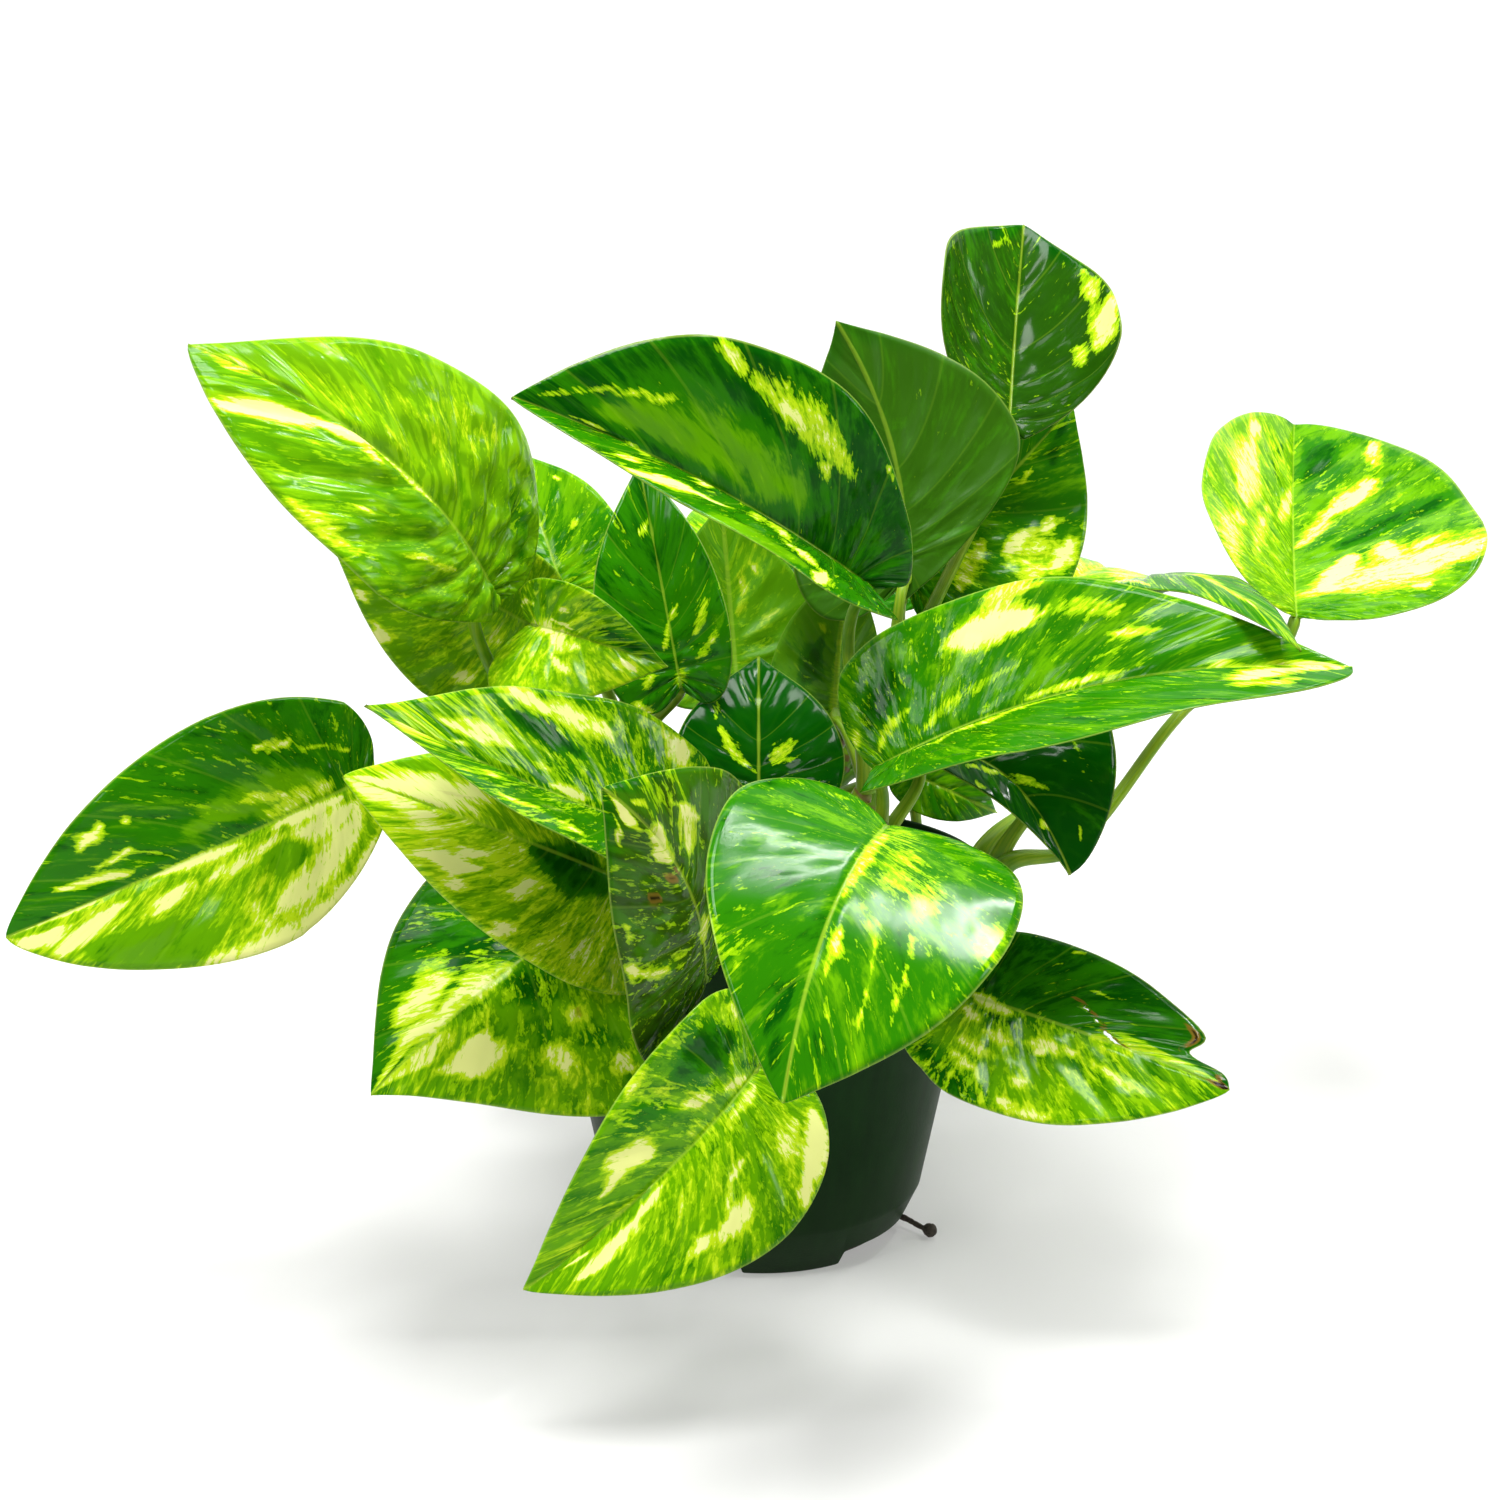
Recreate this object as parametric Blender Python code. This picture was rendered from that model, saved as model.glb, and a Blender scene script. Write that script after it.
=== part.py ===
"""Potted pothos: variegated heart-shaped leaves on rooted cuttings in a 4 inch nursery pot.

Metres, +Z up. The origin is the middle of the pot's underside, on the floor, and the front of the
plant faces -Y. Each leaf blade, each cutting with its leaf stalks, the soil, the pot and the root
that pokes out of a drainage hole is one closed body.
"""

from math import cos, radians, sin, tau

import bmesh
import bpy
from mathutils import Vector

# Driving dimensions.
GAP = 0.0003
POT_HEIGHT = 0.090
RIM_RADIUS = 0.054
BASE_RADIUS = 0.0335
WALL = 0.0013
FLOOR = 0.0016
LIP_HEIGHT = 0.0095
LIP_STEP = 0.0016
SLOT_COUNT = 4
SLOT_START = -33
SLOT_WIDTH = 0.028
SLOT_HEIGHT = 0.0045
SOIL_HEIGHT = 0.079
SOIL_DOME = 0.003
BLADE_THICKNESS = 0.0007
STEM_RADIUS = 0.0027
STEM_DEPTH = 0.030
STALK_ROOT_RADIUS = 0.0019
STALK_TIP_RADIUS = 0.0013
ROOT_RADIUS = 0.0007
KNOB_RADIUS = 0.0015

# The wall runs straight from the foot bevel to the lip.
FOOT_HEIGHT = 0.012
FOOT_RADIUS = 0.0388
WALL_TOP = POT_HEIGHT - LIP_HEIGHT
WALL_TOP_RADIUS = RIM_RADIUS - LIP_STEP
POT_SEGMENTS = 48

# Half of a blade's edge from the stalk round a basal lobe to the tip. Each point is the share of
# the length along the midrib, the share of the half width, and where its side vein leaves the midrib.
EDGE = [
    (-0.045, 0.16, 0.02),
    (-0.080, 0.42, 0.05),
    (-0.040, 0.72, 0.09),
    (0.080, 0.93, 0.14),
    (0.240, 1.00, 0.21),
    (0.400, 0.95, 0.30),
    (0.560, 0.81, 0.41),
    (0.710, 0.58, 0.54),
    (0.840, 0.32, 0.69),
    (0.930, 0.13, 0.84),
]
# The same edge on the half whose outer end is torn away down to the midrib.
TORN_EDGE = EDGE[:5] + [
    (0.440, 0.93, 0.30),
    (0.630, 0.80, 0.41),
    (0.850, 0.49, 0.54),
    (0.830, 0.22, 0.69),
    (0.960, 0.14, 0.84),
]
VEIN_STEPS = (0.35, 0.70, 1.0)

# Where the plant is looked at from. A blade with no roll faces it.
EYE = Vector((0.0, -0.64, 0.29))


def half(width, fold=10, curl=0, full=1.0, belly=0.0, lobe=1.0, neck=0.0, wave=0.01, edge=EDGE):
    """One half of a blade. Fold lifts it out of the midrib and curl turns it further by the edge,
    in degrees. Full rounds it out towards the tip, belly moves the widest place that way, lobe
    lengthens the basal lobe, neck narrows the base, and wave ripples the edge."""
    return dict(width=width, fold=radians(fold), curl=radians(curl) or 1e-6, full=full, belly=belly,
                lobe=lobe, neck=neck, wave=wave, edge=edge)


def leaf(name, base, tip, left, right, roll=0, arch=0.10, sway=0.0, face=None, colour="5E9F1E"):
    """One blade. Base and tip are where the midrib starts and ends. Roll turns its upper side from
    the eye towards its own left, in degrees. Arch and sway bow the midrib up and to the left, as
    shares of the length. Face is where the upper side looks in place of the eye."""
    return dict(name=name, base=Vector(base), tip=Vector(tip), halves=(left, right),
                roll=radians(roll), arch=arch, sway=sway, face=face, colour=colour)


LEAVES = [
    leaf("leaf_far_left", (-0.087, -0.035, 0.122), (-0.164, -0.062, 0.093),
         half(0.026, fold=6, full=1.5, belly=0.02, lobe=0.3, neck=0.6, wave=0.03),
         half(0.0275, fold=6, full=1.3, belly=0.02, lobe=0.4, neck=0.2, wave=0.03),
         roll=5, arch=0.08),
    leaf("leaf_top_left", (-0.058, -0.040, 0.163), (-0.116, -0.072, 0.222),
         half(0.031, fold=4, full=1.35, belly=0.10, lobe=0.0, neck=0.75),
         half(0.032, fold=4), roll=-37, arch=0.15, colour="7FB43A"),
    leaf("leaf_top_middle", (0.024, -0.028, 0.163), (-0.052, -0.062, 0.210),
         half(0.030, fold=34, full=1.5, lobe=0.0, neck=0.4),
         half(0.034, fold=38, full=1.1, belly=0.09, neck=0.4), roll=-42, arch=0.05,
         colour="3F7A22"),
    leaf("leaf_turned", (0.033, 0.000, 0.159), (0.017, 0.018, 0.217),
         half(0.031, fold=8, belly=0.10, neck=0.7),
         half(0.028, fold=8), roll=180, arch=0.04, sway=0.08, colour="6F8F3A"),
    leaf("leaf_crown", (0.0585, 0.026, 0.188), (0.0645, 0.064, 0.2355),
         half(0.036, fold=15, curl=65, full=1.2, belly=0.10, neck=0.8, lobe=0.0),
         half(0.033, fold=15, curl=65, full=1.2, neck=0.85, lobe=0.0),
         roll=-11, arch=-0.02, colour="4F8423"),
    leaf("leaf_behind_crown", (0.035, 0.024, 0.152), (0.077, 0.056, 0.192),
         half(0.030), half(0.030, full=1.1), arch=0.03),
    leaf("leaf_left_low", (-0.0243, -0.053, 0.100), (-0.085, -0.094, 0.138),
         half(0.026, fold=12, full=1.2, lobe=0.0), half(0.022, fold=-10, full=1.3, lobe=0.0, neck=0.5),
         roll=-8, arch=0.08),
    leaf("leaf_left_high", (-0.014, -0.068, 0.116), (-0.078, -0.107, 0.156),
         half(0.025, fold=22, lobe=0.0, neck=0.8), half(0.025, fold=22, lobe=0.5),
         roll=-48, arch=-0.03),
    leaf("leaf_front_narrow", (-0.0125, -0.075, 0.087), (-0.032, -0.108, 0.1395),
         half(0.027, full=1.2, lobe=1.8), half(0.031, fold=-20, full=1.2, lobe=1.0),
         roll=-25, arch=0.05, sway=-0.08, colour="5C7F22"),
    leaf("leaf_front_heart", (0.0246, -0.098, 0.129), (0.003, -0.154, 0.092),
         half(0.034, fold=1.5, full=1.2, belly=0.03), half(0.028, fold=1.5, full=1.3),
         roll=5, arch=0.12, sway=-0.07, colour="6FAE22"),
    leaf("leaf_left_bottom", (-0.031, -0.042, 0.098), (-0.0825, -0.088, 0.067),
         half(0.050, fold=-14, full=1.0, belly=-0.02, lobe=0.0, neck=0.8, wave=0.03),
         half(0.035, fold=-8, full=1.1, lobe=0.0, neck=0.8), roll=-28, arch=0.06),
    leaf("leaf_right_long", (0.024, -0.045, 0.126), (0.124, -0.062, 0.153),
         half(0.030, fold=25, full=1.0, belly=-0.04, lobe=0.4),
         half(0.030, fold=25, full=2.0, belly=0.06, lobe=0.0, neck=0.5),
         roll=46, arch=0.10, colour="7DB52A"),
    leaf("leaf_front_bottom", (-0.001, -0.074, 0.068), (-0.049, -0.116, 0.036),
         half(0.028, fold=18, full=1.2, neck=0.15), half(0.025, fold=18, full=1.1, lobe=0.5),
         roll=20, arch=0.10),
    leaf("leaf_right_low", (0.043, -0.052, 0.077), (0.099, -0.080, 0.065),
         half(0.021, fold=-6, edge=TORN_EDGE), half(0.024, fold=-6, full=1.35, lobe=1.8),
         roll=25, arch=0.03),
    leaf("leaf_dark_right", (0.035, -0.022, 0.123), (0.067, -0.052, 0.104),
         half(0.032, fold=18, full=1.8), half(0.014, fold=18), roll=42, arch=0.26,
         colour="2F6A26"),
    leaf("leaf_far_right", (0.130, 0.030, 0.144), (0.143, 0.112, 0.179),
         half(0.034, fold=30, full=1.8), half(0.047, fold=30, full=1.7), roll=-20, arch=-0.02,
         colour="9CC62E"),
    leaf("leaf_right_edge", (0.080, 0.010, 0.152), (0.111, -0.072, 0.159),
         half(0.012, fold=-8), half(0.012, fold=-8), arch=0.12, face=(0, 0, 1)),
    leaf("leaf_right_back", (0.075, 0.090, 0.133), (0.105, 0.140, 0.128),
         half(0.025, fold=4), half(0.025, fold=4), arch=0.15, face=(0, -0.3, 1)),
    leaf("leaf_middle_dark", (-0.001, -0.020, 0.110), (-0.001, 0.005, 0.140),
         half(0.020), half(0.020), arch=0.05, colour="2C5F24"),
    leaf("leaf_inner_dark", (-0.019, -0.006, 0.135), (-0.029, 0.012, 0.185),
         half(0.019, fold=25), half(0.015, fold=25), arch=0.05, colour="2F6426"),
    leaf("leaf_left_behind", (-0.046, 0.010, 0.152), (-0.060, 0.040, 0.183),
         half(0.019), half(0.018), arch=0.05),
    leaf("leaf_inner_olive", (-0.006, 0.022, 0.128), (-0.010, 0.040, 0.171),
         half(0.022), half(0.022), roll=180, arch=0.05, colour="6E8E2C"),
    leaf("leaf_inner_stripe", (0.017, 0.010, 0.123), (0.021, 0.022, 0.160),
         half(0.016, fold=25), half(0.016, fold=25), roll=160, arch=0.05, colour="6E8E2C"),
    leaf("leaf_left_small", (-0.052, -0.024, 0.154), (-0.021, -0.040, 0.148),
         half(0.012, fold=35), half(0.021, fold=20), roll=10, arch=0.08),
    leaf("leaf_left_under", (-0.0525, -0.0065, 0.1495), (-0.097, -0.039, 0.183),
         half(0.026, fold=8, lobe=0.3, neck=0.5), half(0.015, fold=8, lobe=0.3), arch=0.08,
         colour="4F7F24"),
    leaf("leaf_right_olive", (0.0345, 0.016, 0.109), (0.057, 0.018, 0.098),
         half(0.009, fold=0), half(0.008, fold=0), arch=0.25, colour="6E8E2C"),
    leaf("leaf_back_high", (0.002, 0.060, 0.135), (-0.006, 0.108, 0.162),
         half(0.024), half(0.024), arch=0.10, face=(0, 0.5, 1)),
    leaf("leaf_back_middle", (0.042, 0.066, 0.140), (0.062, 0.100, 0.158),
         half(0.020), half(0.020), arch=0.10, face=(0.2, 0.6, 1)),
    leaf("leaf_back_left", (-0.035, 0.058, 0.122), (-0.058, 0.112, 0.118),
         half(0.024), half(0.024), arch=0.12, face=(-0.2, 0.5, 1)),
    leaf("leaf_back_right", (0.050, 0.062, 0.112), (0.072, 0.116, 0.104),
         half(0.023), half(0.023), arch=0.12, face=(0.2, 0.5, 1)),
    leaf("leaf_low_left", (-0.050, 0.044, 0.097), (-0.078, 0.088, 0.055),
         half(0.020), half(0.020), arch=0.12, face=(-0.6, 0.8, 0.4)),
    leaf("leaf_low_back", (0.002, 0.072, 0.082), (-0.006, 0.102, 0.032),
         half(0.024), half(0.024), arch=0.12, face=(0, 1, 0.4)),
    leaf("leaf_low_right", (0.043, 0.064, 0.074), (0.044, 0.094, 0.032),
         half(0.019), half(0.019), arch=0.12, face=(0.3, 1, 0.4)),
]


def vine(name, foot, top, *stalks):
    """One cutting: a stem that stands upright in the soil at foot and ends at top."""
    return dict(name=name, foot=foot, top=Vector(top), stalks=stalks)


def stalk(leaf_name, height, *via, bend=70):
    """The stalk of one blade. It leaves the stem at a share of its free height, passes the via
    points, and meets the blade from below at bend degrees to the midrib."""
    return dict(leaf=leaf_name, height=height, via=[Vector(v) for v in via], bend=radians(bend))


VINES = [
    vine("vine_left_front", (-0.026, -0.024), (-0.040, -0.030, 0.106),
         stalk("leaf_far_left", 0.9), stalk("leaf_left_low", 0.6),
         stalk("leaf_left_bottom", 0.4, bend=40)),
    vine("vine_left", (-0.034, 0.002), (-0.046, -0.012, 0.126),
         stalk("leaf_top_left", 1.0, (-0.060, -0.024, 0.142)), stalk("leaf_left_under", 0.9),
         stalk("leaf_left_small", 0.8), stalk("leaf_inner_dark", 0.6, (-0.028, 0.005, 0.122))),
    vine("vine_front", (0.000, -0.038), (0.002, -0.046, 0.098),
         stalk("leaf_front_narrow", 0.8, (-0.010, -0.057, 0.100)),
         stalk("leaf_front_bottom", 0.9, (0.002, -0.061, 0.096)),
         stalk("leaf_left_high", 1.0)),
    vine("vine_middle", (0.004, -0.010), (0.024, -0.012, 0.112),
         stalk("leaf_top_middle", 1.0), stalk("leaf_middle_dark", 0.3)),
    vine("vine_crown", (0.022, -0.004), (0.030, -0.002, 0.126),
         stalk("leaf_turned", 0.9), stalk("leaf_crown", 1.0), stalk("leaf_inner_stripe", 0.5)),
    vine("vine_right_front", (0.028, -0.026), (0.026, -0.034, 0.108),
         stalk("leaf_right_long", 0.9), stalk("leaf_dark_right", 0.8),
         stalk("leaf_front_heart", 1.0, (0.027, -0.064, 0.110)),
         stalk("leaf_right_low", 0.6, (0.034, -0.048, 0.098), bend=40)),
    vine("vine_right", (0.040, 0.004), (0.056, -0.014, 0.094),
         stalk("leaf_far_right", 1.0, (0.072, -0.012, 0.098), (0.100, 0.006, 0.127)),
         stalk("leaf_right_edge", 0.9, (0.066, -0.008, 0.112)),
         stalk("leaf_right_back", 0.7, (0.068, 0.014, 0.104), (0.076, 0.056, 0.120))),
    vine("vine_inner", (0.012, 0.016), (0.018, 0.022, 0.116),
         stalk("leaf_behind_crown", 1.0, (0.032, 0.030, 0.134)), stalk("leaf_inner_olive", 0.7),
         stalk("leaf_right_olive", 0.4)),
    vine("vine_back", (0.016, 0.038), (0.022, 0.046, 0.110),
         stalk("leaf_back_high", 0.8), stalk("leaf_back_middle", 1.0),
         stalk("leaf_back_right", 0.7), stalk("leaf_low_right", 0.5, (0.036, 0.054, 0.098), bend=60),
         stalk("leaf_low_back", 0.4, (0.006, 0.062, 0.098), bend=60)),
    vine("vine_back_left", (-0.022, 0.030), (-0.034, 0.034, 0.110),
         stalk("leaf_left_behind", 1.0), stalk("leaf_back_left", 0.8),
         stalk("leaf_low_left", 0.4, bend=45)),
]


def hill(x):
    """A parabola that is 0 at both ends of the midrib and 1 in the middle."""
    return 4.0 * x * (1.0 - x)


def blade_frame(spec):
    """Unit vectors along the chord, up from the face and to the leaf's left, and its length."""
    along = spec["tip"] - spec["base"]
    length = along.length
    along.normalize()
    face = Vector(spec["face"]) if spec["face"] else EYE - (spec["tip"] + spec["base"]) / 2.0
    up = (face - along * face.dot(along)).normalized()
    up = up * cos(spec["roll"]) + up.cross(along) * sin(spec["roll"])
    return along, up, up.cross(along), length


def blade_point(spec, x, y):
    """The blade's middle surface at a share x of the midrib and a share y of the half width."""
    along, up, side, length = blade_frame(spec)
    slope = 4.0 * spec["arch"] * (1.0 - 2.0 * x)
    bow = up * spec["arch"] + side * spec["sway"]
    middle = spec["base"] + (along * x + bow * hill(x)) * length
    rise = (up - along * slope).normalized()
    part = spec["halves"][0 if y >= 0 else 1]
    sign = 1.0 if y >= 0 else -1.0
    end = part["fold"] + part["curl"] * abs(y)
    across = part["width"] * (sin(end) - sin(part["fold"])) / part["curl"]
    lift = part["width"] * (cos(part["fold"]) - cos(end)) / part["curl"]
    lift += part["wave"] * length * y * y * sin(tau * (2.1 * x + 0.25 * sign))
    return middle + side * across * sign + rise * lift


def edge_point(part, x, y):
    """A point of the general edge, fitted to one half of a leaf."""
    if x < 0.0:
        x *= part["lobe"]
    if x < 0.4:
        y *= 1.0 - part["neck"] * (1.0 - x / 0.4) ** 2
    if x > 0.3:
        y **= 1.0 / part["full"]
    return x + part["belly"] * max(0.0, hill(x)), y


def material(name, hex_colour, roughness):
    """A plain finish from an sRGB hex colour."""
    parts = [int(hex_colour[i:i + 2], 16) / 255.0 for i in (0, 2, 4)]
    linear = [c / 12.92 if c <= 0.04045 else ((c + 0.055) / 1.055) ** 2.4 for c in parts]
    made = bpy.data.materials.new(name)
    made.use_nodes = True
    shader = made.node_tree.nodes["Principled BSDF"]
    shader.inputs["Base Color"].default_value = (*linear, 1.0)
    shader.inputs["Roughness"].default_value = roughness
    shader.inputs["Metallic"].default_value = 0.0
    made.diffuse_color = (*linear, 1.0)
    return made


def add_object(name, verts, faces, finish=None, smooth=True):
    """A mesh object from points and faces, with its normals turned outward."""
    mesh = bpy.data.meshes.new(name)
    mesh.from_pydata([tuple(v) for v in verts], [], faces)
    work = bmesh.new()
    work.from_mesh(mesh)
    bmesh.ops.recalc_face_normals(work, faces=work.faces[:])
    work.to_mesh(mesh)
    work.free()
    for face in mesh.polygons:
        face.use_smooth = smooth
    made = bpy.data.objects.new(name, mesh)
    bpy.context.scene.collection.objects.link(made)
    if finish:
        mesh.materials.append(finish)
    return made


def blade_sheet(spec):
    """Points and triangles of one blade's middle surface, in rows along its side veins."""
    verts = [blade_point(spec, 0.0, 0.0)]
    verts += [blade_point(spec, vein, 0.0) for _, _, vein in EDGE]
    verts.append(blade_point(spec, 1.0, 0.0))
    tip = len(verts) - 1
    faces = []
    for sign, part in zip((1.0, -1.0), spec["halves"]):
        rows = []
        for index, (x, y, vein) in enumerate(part["edge"]):
            x, y = edge_point(part, x, y)
            row = [index + 1]
            for step in VEIN_STEPS:
                row.append(len(verts))
                verts.append(blade_point(spec, vein + (x - vein) * step ** 1.3, sign * y * step))
            rows.append(row)
        faces += half_sheet(rows, tip, sign)
    return verts, faces


def half_sheet(rows, tip, sign):
    """Triangles over the rows of one half, with a fan at the stalk and one at the tip."""
    faces = []
    for here, there in zip(rows[0], rows[0][1:]):
        faces.append((0, here, there))
        faces.append((tip, rows[-1][rows[0].index(there)], rows[-1][rows[0].index(here)]))
    for low, high in zip(rows, rows[1:]):
        for k in range(len(low) - 1):
            faces.append((low[k], high[k], low[k + 1]))
            faces.append((low[k + 1], high[k], high[k + 1]))
    return faces if sign < 0 else [face[::-1] for face in faces]


def build_leaf(spec):
    """One blade as a closed sheet of even thickness."""
    verts, faces = blade_sheet(spec)
    made = add_object(spec["name"], verts, faces, material(spec["name"], spec["colour"], 0.35))
    solid = made.modifiers.new("thickness", "SOLIDIFY")
    solid.thickness = BLADE_THICKNESS
    solid.offset = 0.0
    return made


def tube(points, radii, sides):
    """Points and triangles of a closed tube along a path."""
    verts, faces = [], []
    normal = Vector((1.0, 0.0, 0.0))
    for index, (point, radius) in enumerate(zip(points, radii)):
        ahead = points[min(index + 1, len(points) - 1)] - points[max(index - 1, 0)]
        ahead.normalize()
        normal = (normal - ahead * normal.dot(ahead)).normalized()
        across = ahead.cross(normal)
        for side in range(sides):
            angle = tau * side / sides
            verts.append(point + (normal * cos(angle) + across * sin(angle)) * radius)
    for ring in range(len(points) - 1):
        for side in range(sides):
            here, there = ring * sides + side, ring * sides + (side + 1) % sides
            faces.append((here, there, there + sides))
            faces.append((here, there + sides, here + sides))
    last = (len(points) - 1) * sides
    verts += [points[0], points[-1]]
    for side in range(sides):
        there = (side + 1) % sides
        faces.append((len(verts) - 2, there, side))
        faces.append((len(verts) - 1, last + side, last + there))
    return verts, faces


def spline(points, first, final, steps):
    """A smooth path through points that leaves along first and arrives along final."""
    path = []
    for index, (start, end) in enumerate(zip(points, points[1:])):
        reach = (end - start).length
        out = (end - points[index - 1]).normalized() if index else first
        more = index + 2 < len(points)
        into = (points[index + 2] - start).normalized() if more else final
        for step in range(steps):
            t = step / steps
            path.append(start * (2 * t ** 3 - 3 * t ** 2 + 1) + end * (3 * t ** 2 - 2 * t ** 3)
                        + out * reach * (t ** 3 - 2 * t ** 2 + t) + into * reach * (t ** 3 - t ** 2))
    return path + [points[-1]]


def stem_path(spec):
    """The line of a stem: upright in the soil, then leaning to its top."""
    foot = Vector((*spec["foot"], SOIL_HEIGHT - STEM_DEPTH))
    collar = Vector((*spec["foot"], SOIL_HEIGHT + 2.5 * SOIL_DOME))
    lean = (spec["top"] - collar).normalized()
    return [foot] + spline([collar, spec["top"]], Vector((0.0, 0.0, 1.0)), lean, 4)


def stalk_path(spec, stem):
    """The line of a leaf stalk from inside the stem to just under the blade's base."""
    blade = next(item for item in LEAVES if item["name"] == spec["leaf"])
    along, up, side, _ = blade_frame(blade)
    rib = (along + (up * blade["arch"] + side * blade["sway"]) * 4.0).normalized()
    face = (up - along * 4.0 * blade["arch"]).normalized()
    free = stem[1:]
    place = spec["height"] * (len(free) - 1)
    index = min(int(place), len(free) - 2)
    start = free[index].lerp(free[index + 1], place - index)
    below = BLADE_THICKNESS / 2.0 + GAP + STALK_TIP_RADIUS * cos(spec["bend"]) + 0.0003
    end = blade["base"] + rib * 0.0005 - face * below
    final = rib * cos(spec["bend"]) + face * sin(spec["bend"])
    toward = ((spec["via"] + [end])[0] - start).normalized()
    first = (toward + Vector((0.0, 0.0, 1.0))).normalized()
    return spline([start] + spec["via"] + [end], first, final, 6 if not spec["via"] else 4)


def join(made, others):
    """Unites an object with other closed bodies into one mesh and removes them."""
    group = bpy.data.collections.new(made.name + "_repeats")
    bpy.context.scene.collection.children.link(group)
    for other in others:
        bpy.context.scene.collection.objects.unlink(other)
        group.objects.link(other)
    union = made.modifiers.new("union", "BOOLEAN")
    union.operation = "UNION"
    union.operand_type = "COLLECTION"
    union.collection = group
    union.solver = "EXACT"
    shape = made.evaluated_get(bpy.context.evaluated_depsgraph_get())
    mesh = bpy.data.meshes.new_from_object(shape)
    made.modifiers.remove(union)
    made.data = mesh
    for other in others:
        bpy.data.objects.remove(other, do_unlink=True)
    bpy.data.collections.remove(group)


def build_vine(spec):
    """One stem with its leaf stalks as one body."""
    stem = stem_path(spec)
    radii = [STEM_RADIUS] * (len(stem) - 1) + [STEM_RADIUS * 0.8]
    made = add_object(spec["name"], *tube(stem, radii, 8), material(spec["name"], "8AA63A", 0.45))
    others = []
    for item in spec["stalks"]:
        path = stalk_path(item, stem)
        last = len(path) - 1
        thin = STALK_ROOT_RADIUS - STALK_TIP_RADIUS
        radii = [STALK_ROOT_RADIUS - thin * index / last for index in range(last + 1)]
        others.append(add_object(item["leaf"] + "_stalk", *tube(path, radii, 6)))
    join(made, others)
    return made


def revolve(profile, segments):
    """Points and faces of a ring body from a closed outline of radius and height."""
    verts, faces = [], []
    count = len(profile)
    for turn in range(segments):
        angle = tau * turn / segments
        verts += [Vector((r * cos(angle), r * sin(angle), z)) for r, z in profile]
        for k in range(count):
            here, there = turn * count, (turn + 1) % segments * count
            faces.append((here + k, here + (k + 1) % count, there + (k + 1) % count, there + k))
    return verts, faces


def inner_radius(z):
    """Radius of the pot's inner wall at a height."""
    if z < FOOT_HEIGHT:
        share = z / FOOT_HEIGHT
        return BASE_RADIUS + (FOOT_RADIUS - BASE_RADIUS) * share - WALL
    share = min(1.0, (z - FOOT_HEIGHT) / (WALL_TOP - FOOT_HEIGHT))
    return FOOT_RADIUS + (WALL_TOP_RADIUS - FOOT_RADIUS) * share - WALL


def build_pot():
    """The tapered pot with its lip and the slots through its bottom edge."""
    lip = POT_HEIGHT
    outside = [
        (BASE_RADIUS, 0.0), (FOOT_RADIUS, FOOT_HEIGHT), (WALL_TOP_RADIUS, WALL_TOP),
        (RIM_RADIUS - 0.0003, WALL_TOP + 0.0006), (RIM_RADIUS, lip - 0.0012),
        (RIM_RADIUS - 0.0004, lip - 0.0002), (RIM_RADIUS - 0.0010, lip),
    ]
    inside = [
        (RIM_RADIUS - 0.0016, lip - 0.0003), (inner_radius(lip) + LIP_STEP - 0.0004, WALL_TOP + 0.0010),
        (inner_radius(WALL_TOP), WALL_TOP - 0.0012), (inner_radius(FOOT_HEIGHT), FOOT_HEIGHT),
        (inner_radius(FLOOR), FLOOR),
    ]
    profile = outside + inside
    verts, faces = revolve(profile, POT_SEGMENTS)
    count = len(profile)
    faces = [face for index, face in enumerate(faces) if index % count != count - 1]
    below = [turn * count for turn in range(POT_SEGMENTS)]
    above = [turn * count + count - 1 for turn in range(POT_SEGMENTS)]
    pot = add_object("pot", verts, faces + [below, above], material("pot", "2E3B34", 0.45))
    cutter = box_ring("pot_slots", SLOT_COUNT)
    cut(pot, cutter)
    return pot


def box_ring(name, count):
    """Boxes round the pot's bottom edge, the shape of the drainage slots."""
    verts, faces = [], []
    inner, outer = BASE_RADIUS - 0.0055, FOOT_RADIUS + 0.004
    for turn in range(count):
        angle = radians(SLOT_START) + tau * turn / count
        out = Vector((cos(angle), sin(angle), 0.0))
        side = Vector((-sin(angle), cos(angle), 0.0)) * SLOT_WIDTH / 2.0
        start = len(verts)
        for z in (-0.002, SLOT_HEIGHT):
            lift = Vector((0.0, 0.0, z))
            verts += [out * inner - side + lift, out * outer - side + lift,
                      out * outer + side + lift, out * inner + side + lift]
        for face in ((0, 3, 2, 1), (4, 5, 6, 7), (0, 1, 5, 4), (1, 2, 6, 5), (2, 3, 7, 6), (3, 0, 4, 7)):
            faces.append(tuple(start + k for k in face))
    return add_object(name, verts, faces, smooth=False)


def cut(made, cutter):
    """Subtracts a hidden cutter from an object."""
    cutter.hide_render = True
    cutter.display_type = "WIRE"
    difference = made.modifiers.new(cutter.name, "BOOLEAN")
    difference.operation = "DIFFERENCE"
    difference.object = cutter
    difference.solver = "EXACT"


def soil_top(radius, angle):
    """Height of the potting mix: a low dome with crumbs."""
    x, y = radius * cos(angle), radius * sin(angle)
    crumbs = sin(x * 820) * cos(y * 760) + 0.6 * sin(x * 1490 + y * 610) * sin(y * 1370)
    share = radius / RIM_RADIUS
    return SOIL_HEIGHT + SOIL_DOME * (1.0 - share * share) + 0.0006 * crumbs * (1.0 - share ** 6)


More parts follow.
